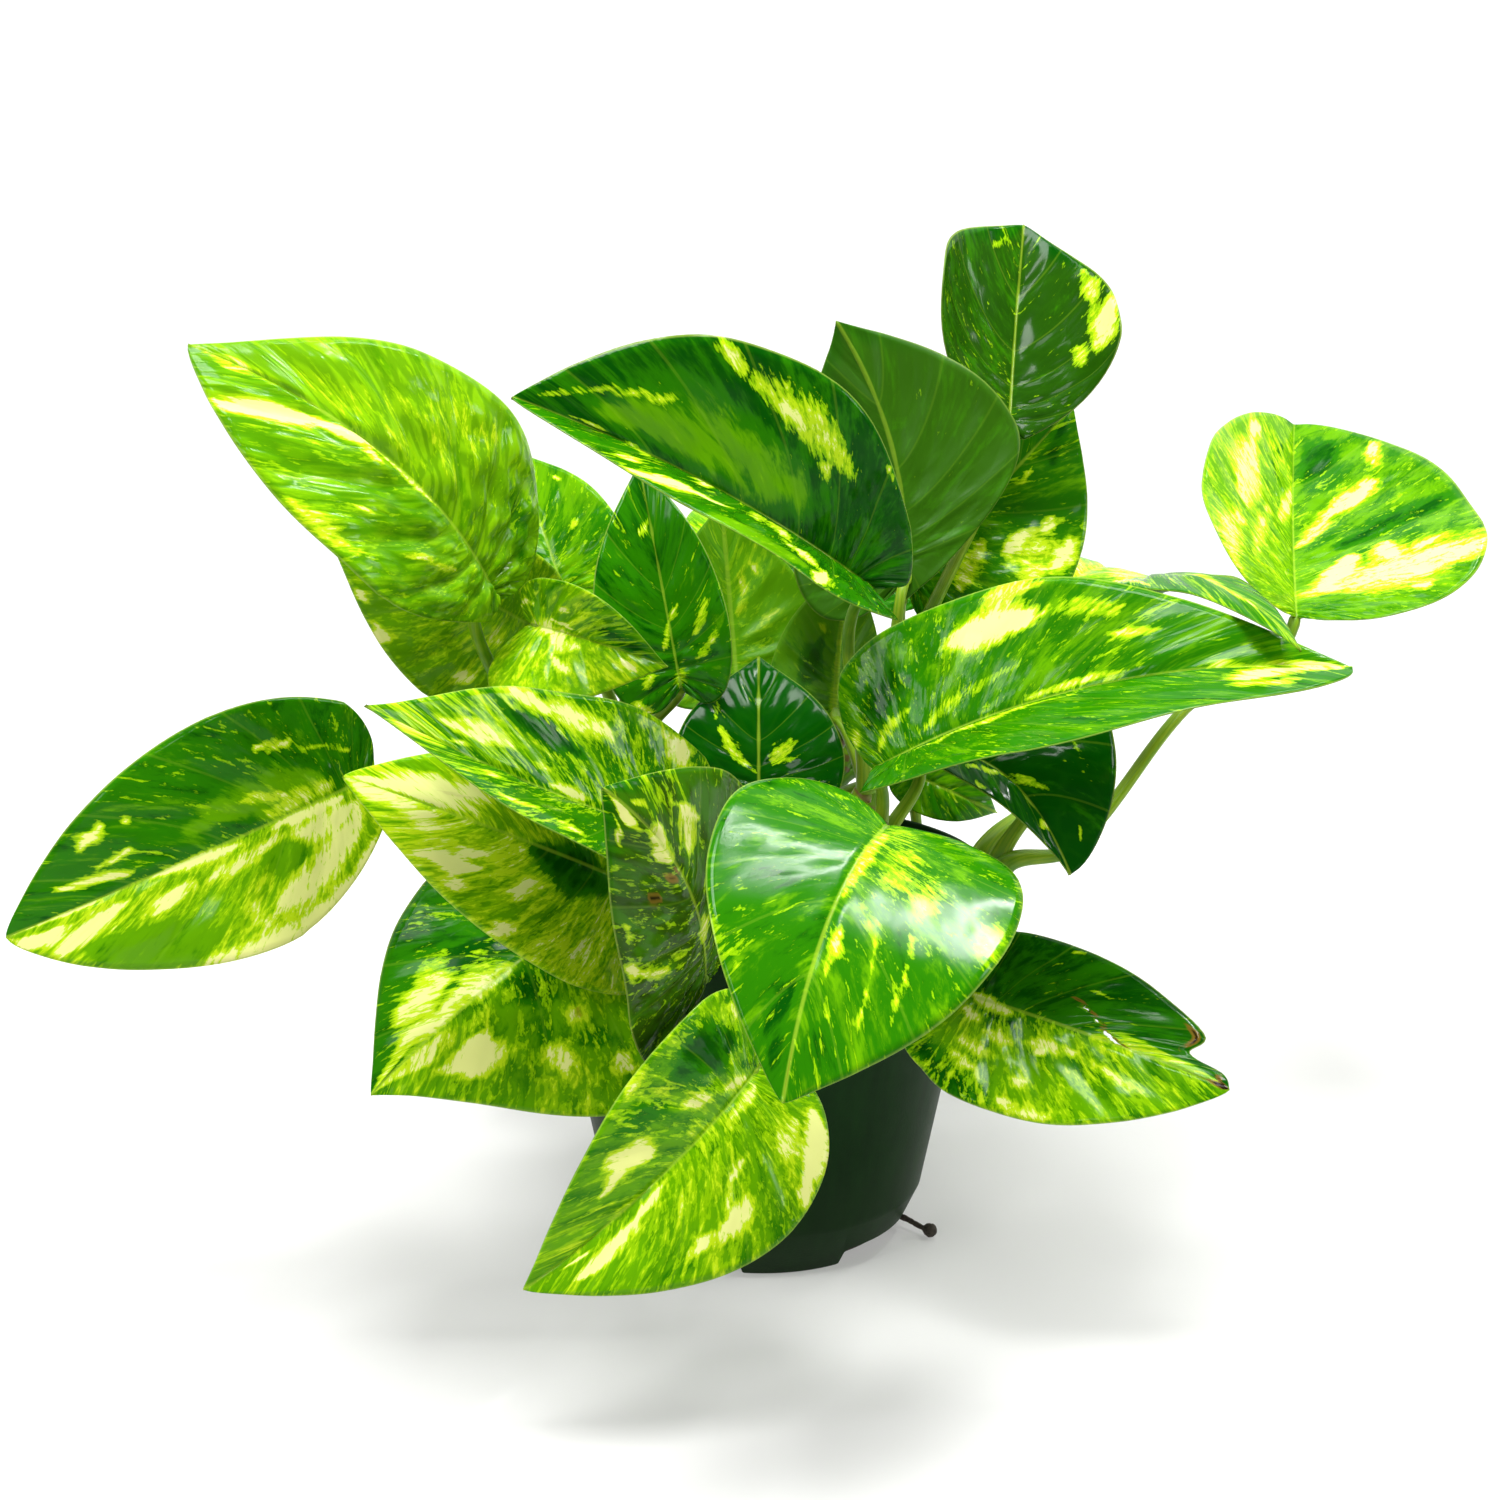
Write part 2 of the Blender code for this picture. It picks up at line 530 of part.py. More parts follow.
def build_soil():
    """The potting mix: a plug that fills the pot, with a hole for each stem."""
    segments = 36
    levels = [FLOOR + GAP, FOOT_HEIGHT, SOIL_HEIGHT - 0.001]
    rims = [inner_radius(z) - GAP * 1.3 for z in levels]
    shares = (1.0, 0.86, 0.68, 0.48, 0.26)
    verts, faces = [], []
    for turn in range(segments):
        angle = tau * turn / segments
        spot = Vector((cos(angle), sin(angle), 0.0))
        verts += [spot * r + Vector((0.0, 0.0, z)) for r, z in zip(rims, levels)]
        for share in shares[1:]:
            radius = rims[-1] * share
            verts.append(spot * radius + Vector((0.0, 0.0, soil_top(radius, angle))))
    count = len(levels) + len(shares) - 1
    for turn in range(segments):
        here, there = turn * count, (turn + 1) % segments * count
        for k in range(count - 1):
            faces.append((here + k, there + k, there + k + 1))
            faces.append((here + k, there + k + 1, here + k + 1))
    verts.append(Vector((0.0, 0.0, soil_top(0.0, 0.0))))
    faces += [(turn * count + count - 1, (turn + 1) % segments * count + count - 1, len(verts) - 1)
              for turn in range(segments)]
    faces.append([turn * count for turn in range(segments)])
    soil = add_object("soil", verts, faces, material("soil", "2B2019", 0.95))
    cut(soil, stem_holes())
    return soil


def stem_holes():
    """Plain upright holes in the soil, one for each stem."""
    verts, faces = [], []
    for spec in VINES:
        low = Vector((*spec["foot"], SOIL_HEIGHT - STEM_DEPTH - GAP))
        high = Vector((*spec["foot"], SOIL_HEIGHT + 0.02))
        more, sides = tube([low, high], [STEM_RADIUS + GAP * 1.5] * 2, 8)
        faces += [tuple(len(verts) + k for k in face) for face in sides]
        verts += more
    return add_object("soil_stem_holes", verts, faces, smooth=False)


def build_drain_root():
    """The dark root that pokes out of the right-hand drainage slot, with a knob at its end."""
    path = [Vector(p) for p in ((0.0331, -0.0062, 0.0026), (0.0350, -0.0074, 0.0024),
                                (0.0375, -0.0100, 0.0020), (0.0390, -0.0115, 0.0018),
                                (0.0400, -0.0125, 0.0019), (0.0410, -0.0135, 0.0019),
                                (0.0417, -0.0142, 0.0019))]
    radii = [ROOT_RADIUS, ROOT_RADIUS, ROOT_RADIUS * 0.9, ROOT_RADIUS, KNOB_RADIUS, KNOB_RADIUS,
             KNOB_RADIUS * 0.5]
    return add_object("drain_root", *tube(path, radii, 8), material("drain_root", "4A443A", 0.8))


def clear_scene():
    for old in list(bpy.data.objects):
        bpy.data.objects.remove(old, do_unlink=True)


clear_scene()
build_pot()
build_soil()
build_drain_root()
for spec in LEAVES:
    build_leaf(spec)
for spec in VINES:
    build_vine(spec)
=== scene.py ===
"""Looks of a potted pothos: variegated heart-shaped leaves on ten cuttings in a nursery pot.

Metres, +Z up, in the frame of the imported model. The front of the plant faces -Y.
"""

from math import cos, pi, radians, sin, tau

import bmesh
import bpy
import numpy as np
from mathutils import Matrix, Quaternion, Vector, noise


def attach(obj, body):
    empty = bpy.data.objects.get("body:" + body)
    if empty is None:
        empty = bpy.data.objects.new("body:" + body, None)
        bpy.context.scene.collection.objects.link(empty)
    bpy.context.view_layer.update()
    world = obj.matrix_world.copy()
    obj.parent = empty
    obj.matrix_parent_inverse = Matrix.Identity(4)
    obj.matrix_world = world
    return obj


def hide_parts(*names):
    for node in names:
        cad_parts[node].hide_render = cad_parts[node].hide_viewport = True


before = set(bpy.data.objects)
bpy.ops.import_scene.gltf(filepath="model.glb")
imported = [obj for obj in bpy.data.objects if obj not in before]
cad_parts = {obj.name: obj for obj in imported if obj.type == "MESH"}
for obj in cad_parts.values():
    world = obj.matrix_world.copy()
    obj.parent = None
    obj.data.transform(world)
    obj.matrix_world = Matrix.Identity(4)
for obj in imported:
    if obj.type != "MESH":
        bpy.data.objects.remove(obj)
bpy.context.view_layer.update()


# Nursery pot. A thin-walled 4 inch pot, injection moulded in dark green polypropylene, with a
# rolled lip, a tapered wall, a bevelled foot and four drainage slots through its bottom edge.
POT_HEIGHT = 0.090
RIM_RADIUS = 0.054
BASE_RADIUS = 0.0335
FOOT_HEIGHT = 0.012
FOOT_RADIUS = 0.0388
WALL_TOP = 0.0805
WALL_TOP_RADIUS = 0.0524
WALL = 0.0013
POT_FLOOR = 0.0016
FOOT_RECESS = 0.0006
FOOT_RING = 0.009
SLOT_COUNT = 4
SLOT_START = radians(-33)
SLOT_WIDTH = 0.028
SLOT_HEIGHT = 0.0045
SLOT_DEPTH = 0.016
SLOT_INSIDE = 0.0055
SLOT_ROUNDING = 0.0009
CUTTER_BELOW = 0.002
POT_SIDES = 160


def linear(hex_colour):
    """An sRGB hex colour as linear RGBA."""
    parts = [int(hex_colour[i:i + 2], 16) / 255.0 for i in (0, 2, 4)]
    return [c / 12.92 if c <= 0.04045 else ((c + 0.055) / 1.055) ** 2.4 for c in parts] + [1.0]


def add_node(tree, kind, links=None, **settings):
    """Adds a node. Links fill its sockets, by name or number, from other sockets or with values.
    The two colours of a Mix node are its sockets 6 and 7, and its mixed colour is output 2."""
    made = tree.nodes.new(kind)
    for key, value in settings.items():
        setattr(made, key, value)
    for key, value in (links or {}).items():
        if isinstance(value, bpy.types.NodeSocket):
            tree.links.new(value, made.inputs[key])
        else:
            made.inputs[key].default_value = value
    return made


def new_finish(name, colour, roughness, ior=1.5):
    """A material with its Principled shader set, its node tree and that shader."""
    made = bpy.data.materials.new(name)
    made.use_nodes = True
    shader = made.node_tree.nodes["Principled BSDF"]
    shader.inputs["Base Color"].default_value = linear(colour)
    shader.inputs["Roughness"].default_value = roughness
    shader.inputs["IOR"].default_value = ior
    return made, made.node_tree, shader


def add_object(name, data):
    """A new object in the scene, at the origin."""
    made = bpy.data.objects.new(name, data)
    bpy.context.scene.collection.objects.link(made)
    return made


def new_piece(name, verts, faces, finish, hard_angle=None):
    """A smooth shaded mesh object at the origin. Edges past the hard angle stay sharp."""
    mesh = bpy.data.meshes.new(name)
    mesh.from_pydata([tuple(v) for v in verts], [], faces)
    if finish:
        mesh.materials.append(finish)
    mesh.shade_smooth()
    if hard_angle:
        mesh.set_sharp_from_angle(angle=hard_angle)
    return add_object(name, mesh)


def stand_for(piece, node):
    """The piece takes the place of a CAD node."""
    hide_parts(node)
    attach(piece, "root")


def flatten(piece):
    """Bakes a piece's modifiers into its mesh."""
    shape = piece.evaluated_get(bpy.context.evaluated_depsgraph_get())
    mesh = bpy.data.meshes.new_from_object(shape)
    while len(mesh.materials) > 1:
        mesh.materials.pop(index=len(mesh.materials) - 1)
    piece.modifiers.clear()
    piece.data = mesh


def carve(piece, tool):
    """Takes the volume of a closed tool out of a piece, and then the tool out of the scene."""
    cut = piece.modifiers.new("cut", "BOOLEAN")
    cut.operation = "DIFFERENCE"
    cut.solver = "MANIFOLD"
    cut.object = tool
    flatten(piece)
    bpy.data.objects.remove(tool, do_unlink=True)


def pot_profile():
    """The wall's outline as radius and height, from the axis under the floor to the axis above it.
    Tenths of a millimetre round off the edges."""
    slope = (WALL_TOP_RADIUS - FOOT_RADIUS) / (WALL_TOP - FOOT_HEIGHT)
    foot = [(0.0, FOOT_RECESS), (BASE_RADIUS - FOOT_RING, FOOT_RECESS),
            (BASE_RADIUS - FOOT_RING + 0.0007, 0.0), (BASE_RADIUS - 0.0006, 0.0),
            (BASE_RADIUS, 0.0005),
            (FOOT_RADIUS - 0.0003, FOOT_HEIGHT - 0.0006), (FOOT_RADIUS, FOOT_HEIGHT)]
    wall = [(FOOT_RADIUS + slope * z, FOOT_HEIGHT + z) for z in np.linspace(0.001, 0.0675, 12)]
    lip = [(WALL_TOP_RADIUS + 0.0001, WALL_TOP), (RIM_RADIUS - 0.0005, WALL_TOP + 0.0003),
           (RIM_RADIUS - 0.0002, WALL_TOP + 0.0008), (RIM_RADIUS, POT_HEIGHT - 0.0012),
           (RIM_RADIUS - 0.0002, POT_HEIGHT - 0.0004), (RIM_RADIUS - 0.0007, POT_HEIGHT),
           (RIM_RADIUS - 0.0012, POT_HEIGHT - 0.0002), (RIM_RADIUS - 0.0015, POT_HEIGHT - 0.0008),
           (RIM_RADIUS - 0.0016, WALL_TOP + 0.0012), (WALL_TOP_RADIUS - WALL, WALL_TOP - 0.0006)]
    inside = [(FOOT_RADIUS + slope * z - WALL, FOOT_HEIGHT + z) for z in (0.05, 0.025, 0.0)]
    inside += [(BASE_RADIUS - WALL, POT_FLOOR + 0.0004), (BASE_RADIUS - WALL - 0.0006, POT_FLOOR),
               (0.0, POT_FLOOR)]
    return foot + wall + lip + inside


def lathe(profile, sides):
    """Points and faces of a body turned about the pot's axis. The profile's two ends lie on it."""
    verts = [Vector((0.0, 0.0, profile[0][1])), Vector((0.0, 0.0, profile[-1][1]))]
    rings = profile[1:-1]
    for turn in range(sides):
        angle = tau * turn / sides
        verts += [Vector((r * cos(angle), r * sin(angle), z)) for r, z in rings]
    faces = []
    for turn in range(sides):
        here = 2 + turn * len(rings)
        there = 2 + (turn + 1) % sides * len(rings)
        faces.append((0, there, here))
        faces.append((1, here + len(rings) - 1, there + len(rings) - 1))
        for k in range(len(rings) - 1):
            faces.append((here + k, there + k, there + k + 1, here + k + 1))
    return verts, faces


def slot_cutter():
    """Four round-cornered bars across the pot's bottom edge, where the drainage slots go."""
    shape = bmesh.new()
    for turn in range(SLOT_COUNT):
        angle = SLOT_START + tau * turn / SLOT_COUNT
        for vert in bmesh.ops.create_cube(shape, size=1.0)["verts"]:
            reach = BASE_RADIUS - SLOT_INSIDE + (vert.co.x + 0.5) * SLOT_DEPTH
            across = vert.co.y * SLOT_WIDTH
            up = (vert.co.z + 0.5) * (SLOT_HEIGHT + CUTTER_BELOW) - CUTTER_BELOW
            vert.co = Vector((reach * cos(angle) - across * sin(angle),
                              reach * sin(angle) + across * cos(angle), up))
    bmesh.ops.bevel(shape, geom=shape.edges[:], offset=SLOT_ROUNDING, segments=3, profile=0.5,
                    affect="EDGES")
    mesh = bpy.data.meshes.new("slot_cutter")
    shape.to_mesh(mesh)
    shape.free()
    return add_object("slot_cutter", mesh)


# Polypropylene, injection moulded on a spark-eroded mould. It gives a satin skin with a fine grain,
# faint flow streaks up the wall and a little dried dust from watering near the foot.
pot_skin, tree, shader = new_finish("moulded_polypropylene", "10250F", 0.5, ior=1.49)
shader.inputs["Specular IOR Level"].default_value = 0.06
spot = add_node(tree, "ShaderNodeTexCoord").outputs["Object"]
tall = add_node(tree, "ShaderNodeMapping", {"Vector": spot, "Scale": (260, 260, 14)})
streaks = add_node(tree, "ShaderNodeTexNoise",
                   {"Vector": tall.outputs[0], "Scale": 1.0, "Detail": 3.0})
smudge = add_node(tree, "ShaderNodeTexNoise",
                  {"Vector": spot, "Scale": 95.0, "Detail": 5.0, "Roughness": 0.65})
grain = add_node(tree, "ShaderNodeTexNoise", {"Vector": spot, "Scale": 2400.0, "Detail": 2.0})
height = add_node(tree, "ShaderNodeSeparateXYZ", {0: spot})
low = add_node(tree, "ShaderNodeMapRange",
               {"Value": height.outputs["Z"], "From Min": 0.030, "From Max": 0.0})
dust = add_node(tree, "ShaderNodeMath", {0: low.outputs[0], 1: smudge.outputs[0]},
                operation="MULTIPLY")
shade = add_node(tree, "ShaderNodeMix", {0: streaks.outputs[0], 6: linear("0A200A"),
                                         7: linear("12340F")}, data_type="RGBA")
dusty = add_node(tree, "ShaderNodeMix", {0: dust.outputs[0], 6: shade.outputs[2],
                                         7: linear("283A24")}, data_type="RGBA")
tree.links.new(dusty.outputs[2], shader.inputs["Base Color"])
matt = add_node(tree, "ShaderNodeMapRange",
                {"Value": smudge.outputs[0], "To Min": 0.34, "To Max": 0.52})
tree.links.new(matt.outputs[0], shader.inputs["Roughness"])
bump = add_node(tree, "ShaderNodeBump",
                {"Height": grain.outputs[0], "Strength": 0.25, "Distance": 0.0002})
tree.links.new(bump.outputs[0], shader.inputs["Normal"])

nursery_pot = new_piece("nursery_pot", *lathe(pot_profile(), POT_SIDES), pot_skin)
carve(nursery_pot, slot_cutter())
nursery_pot.data.set_sharp_from_angle(angle=radians(40))
stand_for(nursery_pot, "pot")


# Potting mix. Damp peat with bark and perlite, poured in and settled to a low uneven dome 10 mm
# below the rim. The crumbs on top are scattered over its surface and sunk a little into it.
MIX_HEIGHT = 0.079
MIX_DOME = 0.003
MIX_RADIUS = 0.0508
MIX_GAP = 0.0018
MIX_LIFT = 0.0003
CLOD_HEIGHT = 0.0013
CRUMB_HEIGHT = 0.0006
MIX_RINGS = 44
MIX_SIDES = 150


def mix_height(x, y):
    """Height of the settled mix: a low dome with clods of 8 mm and crumbs of 2 mm."""
    share = (x * x + y * y) / MIX_RADIUS ** 2
    clods = noise.noise(Vector((x * 130, y * 130, 3.0))) * CLOD_HEIGHT
    crumbs = noise.noise(Vector((x * 520, y * 520, 9.0))) * CRUMB_HEIGHT
    return MIX_HEIGHT + MIX_DOME * (1.0 - share) + clods + crumbs


def mix_plug():
    """Points and faces of the plug of mix that fills the pot."""
    verts = [Vector((0.0, 0.0, mix_height(0.0, 0.0)))]
    radii = [MIX_RADIUS * k / MIX_RINGS for k in range(1, MIX_RINGS + 1)]
    for radius in radii:
        for turn in range(MIX_SIDES):
            x, y = radius * cos(tau * turn / MIX_SIDES), radius * sin(tau * turn / MIX_SIDES)
            verts.append(Vector((x, y, mix_height(x, y))))
    bottom = POT_FLOOR + MIX_LIFT
    for radius, z in ((FOOT_RADIUS - MIX_GAP, FOOT_HEIGHT), (BASE_RADIUS - MIX_GAP, bottom)):
        for turn in range(MIX_SIDES):
            angle = tau * turn / MIX_SIDES
            verts.append(Vector((radius * cos(angle), radius * sin(angle), z)))
    verts.append(Vector((0.0, 0.0, bottom)))
    faces = []
    for turn in range(MIX_SIDES):
        there = (turn + 1) % MIX_SIDES
        faces.append((0, 1 + turn, 1 + there))
        for ring in range(MIX_RINGS + 1):
            here = 1 + ring * MIX_SIDES
            below = here + MIX_SIDES
            faces.append((here + turn, below + turn, below + there, here + there))
        last = 1 + (MIX_RINGS + 1) * MIX_SIDES
        faces.append((last + turn, len(verts) - 1, last + there))
    return verts, faces


def scatter_tree(name, finish):
    """A node tree that scatters irregular grains over a ground mesh and keeps only the grains."""
    tree = bpy.data.node_groups.new(name, "GeometryNodeTree")
    tree.interface.new_socket("Ground", in_out="INPUT", socket_type="NodeSocketGeometry")
    for label, kind, value in (("Density", "Float", 1e5), ("Spacing", "Float", 0.001),
                               ("Grain", "Vector", (0.001, 0.001, 0.001)),
                               ("Smallest", "Float", 0.5), ("Largest", "Float", 1.5),
                               ("Tilt", "Float", 3.0), ("Seed", "Int", 0)):
        socket = tree.interface.new_socket(label, in_out="INPUT", socket_type="NodeSocket" + kind)
        socket.default_value = value
    tree.interface.new_socket("Grains", in_out="OUTPUT", socket_type="NodeSocketGeometry")
    given = add_node(tree, "NodeGroupInput").outputs
    points = add_node(tree, "GeometryNodeDistributePointsOnFaces",
                      {"Mesh": given["Ground"], "Distance Min": given["Spacing"],
                       "Density Max": given["Density"], "Seed": given["Seed"]},
                      distribute_method="POISSON")
    ball = add_node(tree, "GeometryNodeMeshIcoSphere", {"Radius": 1.0, "Subdivisions": 1})
    rough = add_node(tree, "ShaderNodeTexNoise", {"Scale": 1.3, "Detail": 1.0})
    centred = add_node(tree, "ShaderNodeVectorMath",
                       {0: rough.outputs["Color"], 1: (0.5, 0.5, 0.5)}, operation="SUBTRACT")
    dents = add_node(tree, "ShaderNodeVectorMath", {0: centred.outputs[0], "Scale": 1.6},
                     operation="SCALE")
    lump = add_node(tree, "GeometryNodeSetPosition",
                    {"Geometry": ball.outputs[0], "Offset": dents.outputs[0]})
    sized = add_node(tree, "GeometryNodeTransform",
                     {"Geometry": lump.outputs[0], "Scale": given["Grain"]})
    size = add_node(tree, "FunctionNodeRandomValue",
                    {2: given["Smallest"], 3: given["Largest"], "Seed": given["Seed"]})
    turn = add_node(tree, "FunctionNodeRandomValue", {1: (3.0, 3.0, 3.0), "Seed": given["Seed"]},
                    data_type="FLOAT_VECTOR")
    tilt = add_node(tree, "ShaderNodeVectorMath", {0: turn.outputs[0], "Scale": given["Tilt"]},
                    operation="SCALE")
    grains = add_node(tree, "GeometryNodeInstanceOnPoints",
                      {"Points": points.outputs[0], "Instance": sized.outputs[0],
                       "Rotation": tilt.outputs[0], "Scale": size.outputs[1]})
    real = add_node(tree, "GeometryNodeRealizeInstances", {0: grains.outputs[0]})
    finished = add_node(tree, "GeometryNodeSetMaterial",
                        {"Geometry": real.outputs[0], "Material": finish})
    add_node(tree, "NodeGroupOutput", {0: finished.outputs[0]})
    return tree


def sprinkle(name, finish, ground, **sizes):
    """A plain mesh of grains scattered over the ground."""
    made = add_object(name, ground.copy())
    scatter = made.modifiers.new("scatter", "NODES")
    scatter.node_group = scatter_tree(name, finish)
    sockets = {item.name: item.identifier for item in scatter.node_group.interface.items_tree
               if item.in_out == "INPUT"}
    for label, value in sizes.items():
        scatter[sockets[label.capitalize()]] = value
    flatten(made)
    made.data.materials.clear()
    made.data.materials.append(finish)
    made.data.polygons.foreach_set("material_index", [0] * len(made.data.polygons))
    made.data.shade_smooth()
    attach(made, "root")
    return made


def two_tone(tree, shader, share, low, high, relief, strength, distance):
    """Colours a shader from low to high by a share, and roughens its skin by a relief."""
    tone = add_node(tree, "ShaderNodeMix", {0: share, 6: linear(low), 7: linear(high)},
                    data_type="RGBA")
    tree.links.new(tone.outputs[2], shader.inputs["Base Color"])
    bump = add_node(tree, "ShaderNodeBump",
                    {"Height": relief, "Strength": strength, "Distance": distance})
    tree.links.new(bump.outputs[0], shader.inputs["Normal"])


# Peat, milled and damp. Near black where wet and brown where a crumb stands up and dries, with no
# gloss but a faint glint of water.
peat, tree, shader = new_finish("damp_milled_peat", "2A1E15", 0.9)
spot = add_node(tree, "ShaderNodeTexCoord").outputs["Object"]
clods = add_node(tree, "ShaderNodeTexNoise", {"Vector": spot, "Scale": 180.0, "Detail": 6.0,
                                              "Roughness": 0.7})
fibres = add_node(tree, "ShaderNodeTexNoise", {"Vector": spot, "Scale": 1500.0, "Detail": 3.0})
mixed = add_node(tree, "ShaderNodeMath", {0: clods.outputs[0], 1: fibres.outputs[0]},
                 operation="MULTIPLY")
shares = add_node(tree, "ShaderNodeMapRange", {"Value": mixed.outputs[0], "From Min": 0.16,
                                               "From Max": 0.38})
two_tone(tree, shader, shares.outputs[0], "17100B", "4A3525", fibres.outputs[0], 0.8, 0.0004)

# Composted pine bark. Torn flakes with a woody grain, brown with a darker edge.
bark, tree, shader = new_finish("composted_pine_bark", "4B3320", 0.8)
spot = add_node(tree, "ShaderNodeTexCoord").outputs["Object"]
grain = add_node(tree, "ShaderNodeTexNoise", {"Vector": spot, "Scale": 700.0, "Detail": 4.0})
two_tone(tree, shader, grain.outputs[0], "2B1B10", "7A5637", grain.outputs[0], 0.6, 0.0005)

# Perlite. Volcanic glass popped by heat: chalk white, full of pores, stained a little by the peat.
perlite, tree, shader = new_finish("popped_perlite", "DAD6CB", 0.85)
spot = add_node(tree, "ShaderNodeTexCoord").outputs["Object"]
pores = add_node(tree, "ShaderNodeTexVoronoi", {"Vector": spot, "Scale": 1900.0})
stain = add_node(tree, "ShaderNodeTexNoise", {"Vector": spot, "Scale": 420.0, "Detail": 3.0})
stained = add_node(tree, "ShaderNodeMapRange", {"Value": stain.outputs[0], "From Min": 0.45,
                                                "From Max": 0.75})
two_tone(tree, shader, stained.outputs[0], "E4E1D8", "9A8B76", pores.outputs[0], 0.7, 0.0003)

potting_mix = new_piece("potting_mix", *mix_plug(), peat)
stand_for(potting_mix, "soil")

# The grains lie on the upper face, and none so near to the wall that it would stick through.
GRAIN_REACH = 0.0482
GROUND_BOTTOM = 0.07
STEEPEST = 0.3
ground = potting_mix.data.copy()
shape = bmesh.new()
shape.from_mesh(ground)
for face in list(shape.faces):
    middle = face.calc_center_median()
    if face.normal.z < STEEPEST or middle.z < GROUND_BOTTOM or middle.xy.length > GRAIN_REACH:
        shape.faces.remove(face)
shape.to_mesh(ground)
shape.free()
sprinkle("peat_crumbs", peat, ground, density=4.5e5, spacing=0.0011,
         grain=(0.0008, 0.0007, 0.0006), smallest=0.6, largest=1.9, seed=11)
sprinkle("bark_flakes", bark, ground, density=6e4, spacing=0.0028,
         grain=(0.0021, 0.0013, 0.0006), smallest=0.5, largest=1.4, tilt=1.0, seed=23)
sprinkle("perlite_grains", perlite, ground, density=3.5e4, spacing=0.0030,
         grain=(0.0011, 0.0010, 0.0009), smallest=0.6, largest=1.5, seed=37)


# Leaves. Each blade is a heart-shaped sheet of living tissue, folded along its midrib, with sunken
# side veins that curve to the margin and quilted tissue between them. Cream and yellow parts lack
# the green pigment, and run along the side veins as the tissue grew outwards from the midrib.
BLADE_THICKNESS = 0.0006
MARGIN_THICKNESS = 0.00025
GROOVE_DEPTH, GROOVE_WIDTH = 0.0003, 0.0009
RIB_HEIGHT, RIB_WIDTH, RIB_TAPER = 0.0008, 0.0012, 0.85
ROWS = 72
STEPS = 24
EYE = Vector((0.0, -0.64, 0.29))

# Half of a blade's edge from the stalk round a basal lobe to the tip: the share of the length along
# the midrib, the share of the half width, and where the side vein to that point leaves the midrib.
EDGE = [
    (0.000, 0.00, 0.00),
    (-0.045, 0.16, 0.01),
    (-0.080, 0.42, 0.03),
    (-0.040, 0.72, 0.05),
    (0.080, 0.93, 0.08),
    (0.240, 1.00, 0.13),
    (0.400, 0.95, 0.20),
    (0.560, 0.81, 0.30),
    (0.710, 0.58, 0.43),
    (0.840, 0.32, 0.60),
    (0.930, 0.13, 0.78),
    (1.000, 0.00, 1.00),
]
# The same edge where the outer end of one half is torn away.
TORN_EDGE = EDGE[:6] + [
    (0.440, 0.93, 0.20),
    (0.630, 0.80, 0.30),
    (0.850, 0.49, 0.43),
    (0.830, 0.22, 0.60),
    (0.960, 0.14, 0.78),
    (1.000, 0.00, 1.00),
]
NO_CURL = 1e-6


def half(width, fold=10, curl=0, full=1.0, belly=0.0, lobe=1.0, neck=0.0, wave=0.01, edge=EDGE):
    """One half of a blade. Fold lifts it out of the midrib and curl turns it further by the edge,
    in degrees. Full rounds it out towards the tip, belly moves the widest place that way, lobe
    lengthens the basal lobe, neck narrows the base, and wave ripples the edge."""
    return dict(width=width, fold=radians(fold), curl=radians(curl) or NO_CURL, full=full,
                belly=belly, lobe=lobe, neck=neck, wave=wave, edge=edge)


def leaf(name, base, tip, left, right, roll=0, arch=0.10, sway=0.0, face=None):
    """One blade. Base and tip are where the midrib starts and ends. Roll turns its upper side from
    the eye towards its own left, in degrees. Arch and sway bow the midrib up and to the left, as
    shares of the length. Face is where the upper side looks in place of the eye."""
    return dict(name=name, base=Vector(base), tip=Vector(tip), halves=(left, right),
                roll=radians(roll), arch=arch, sway=sway, face=face)


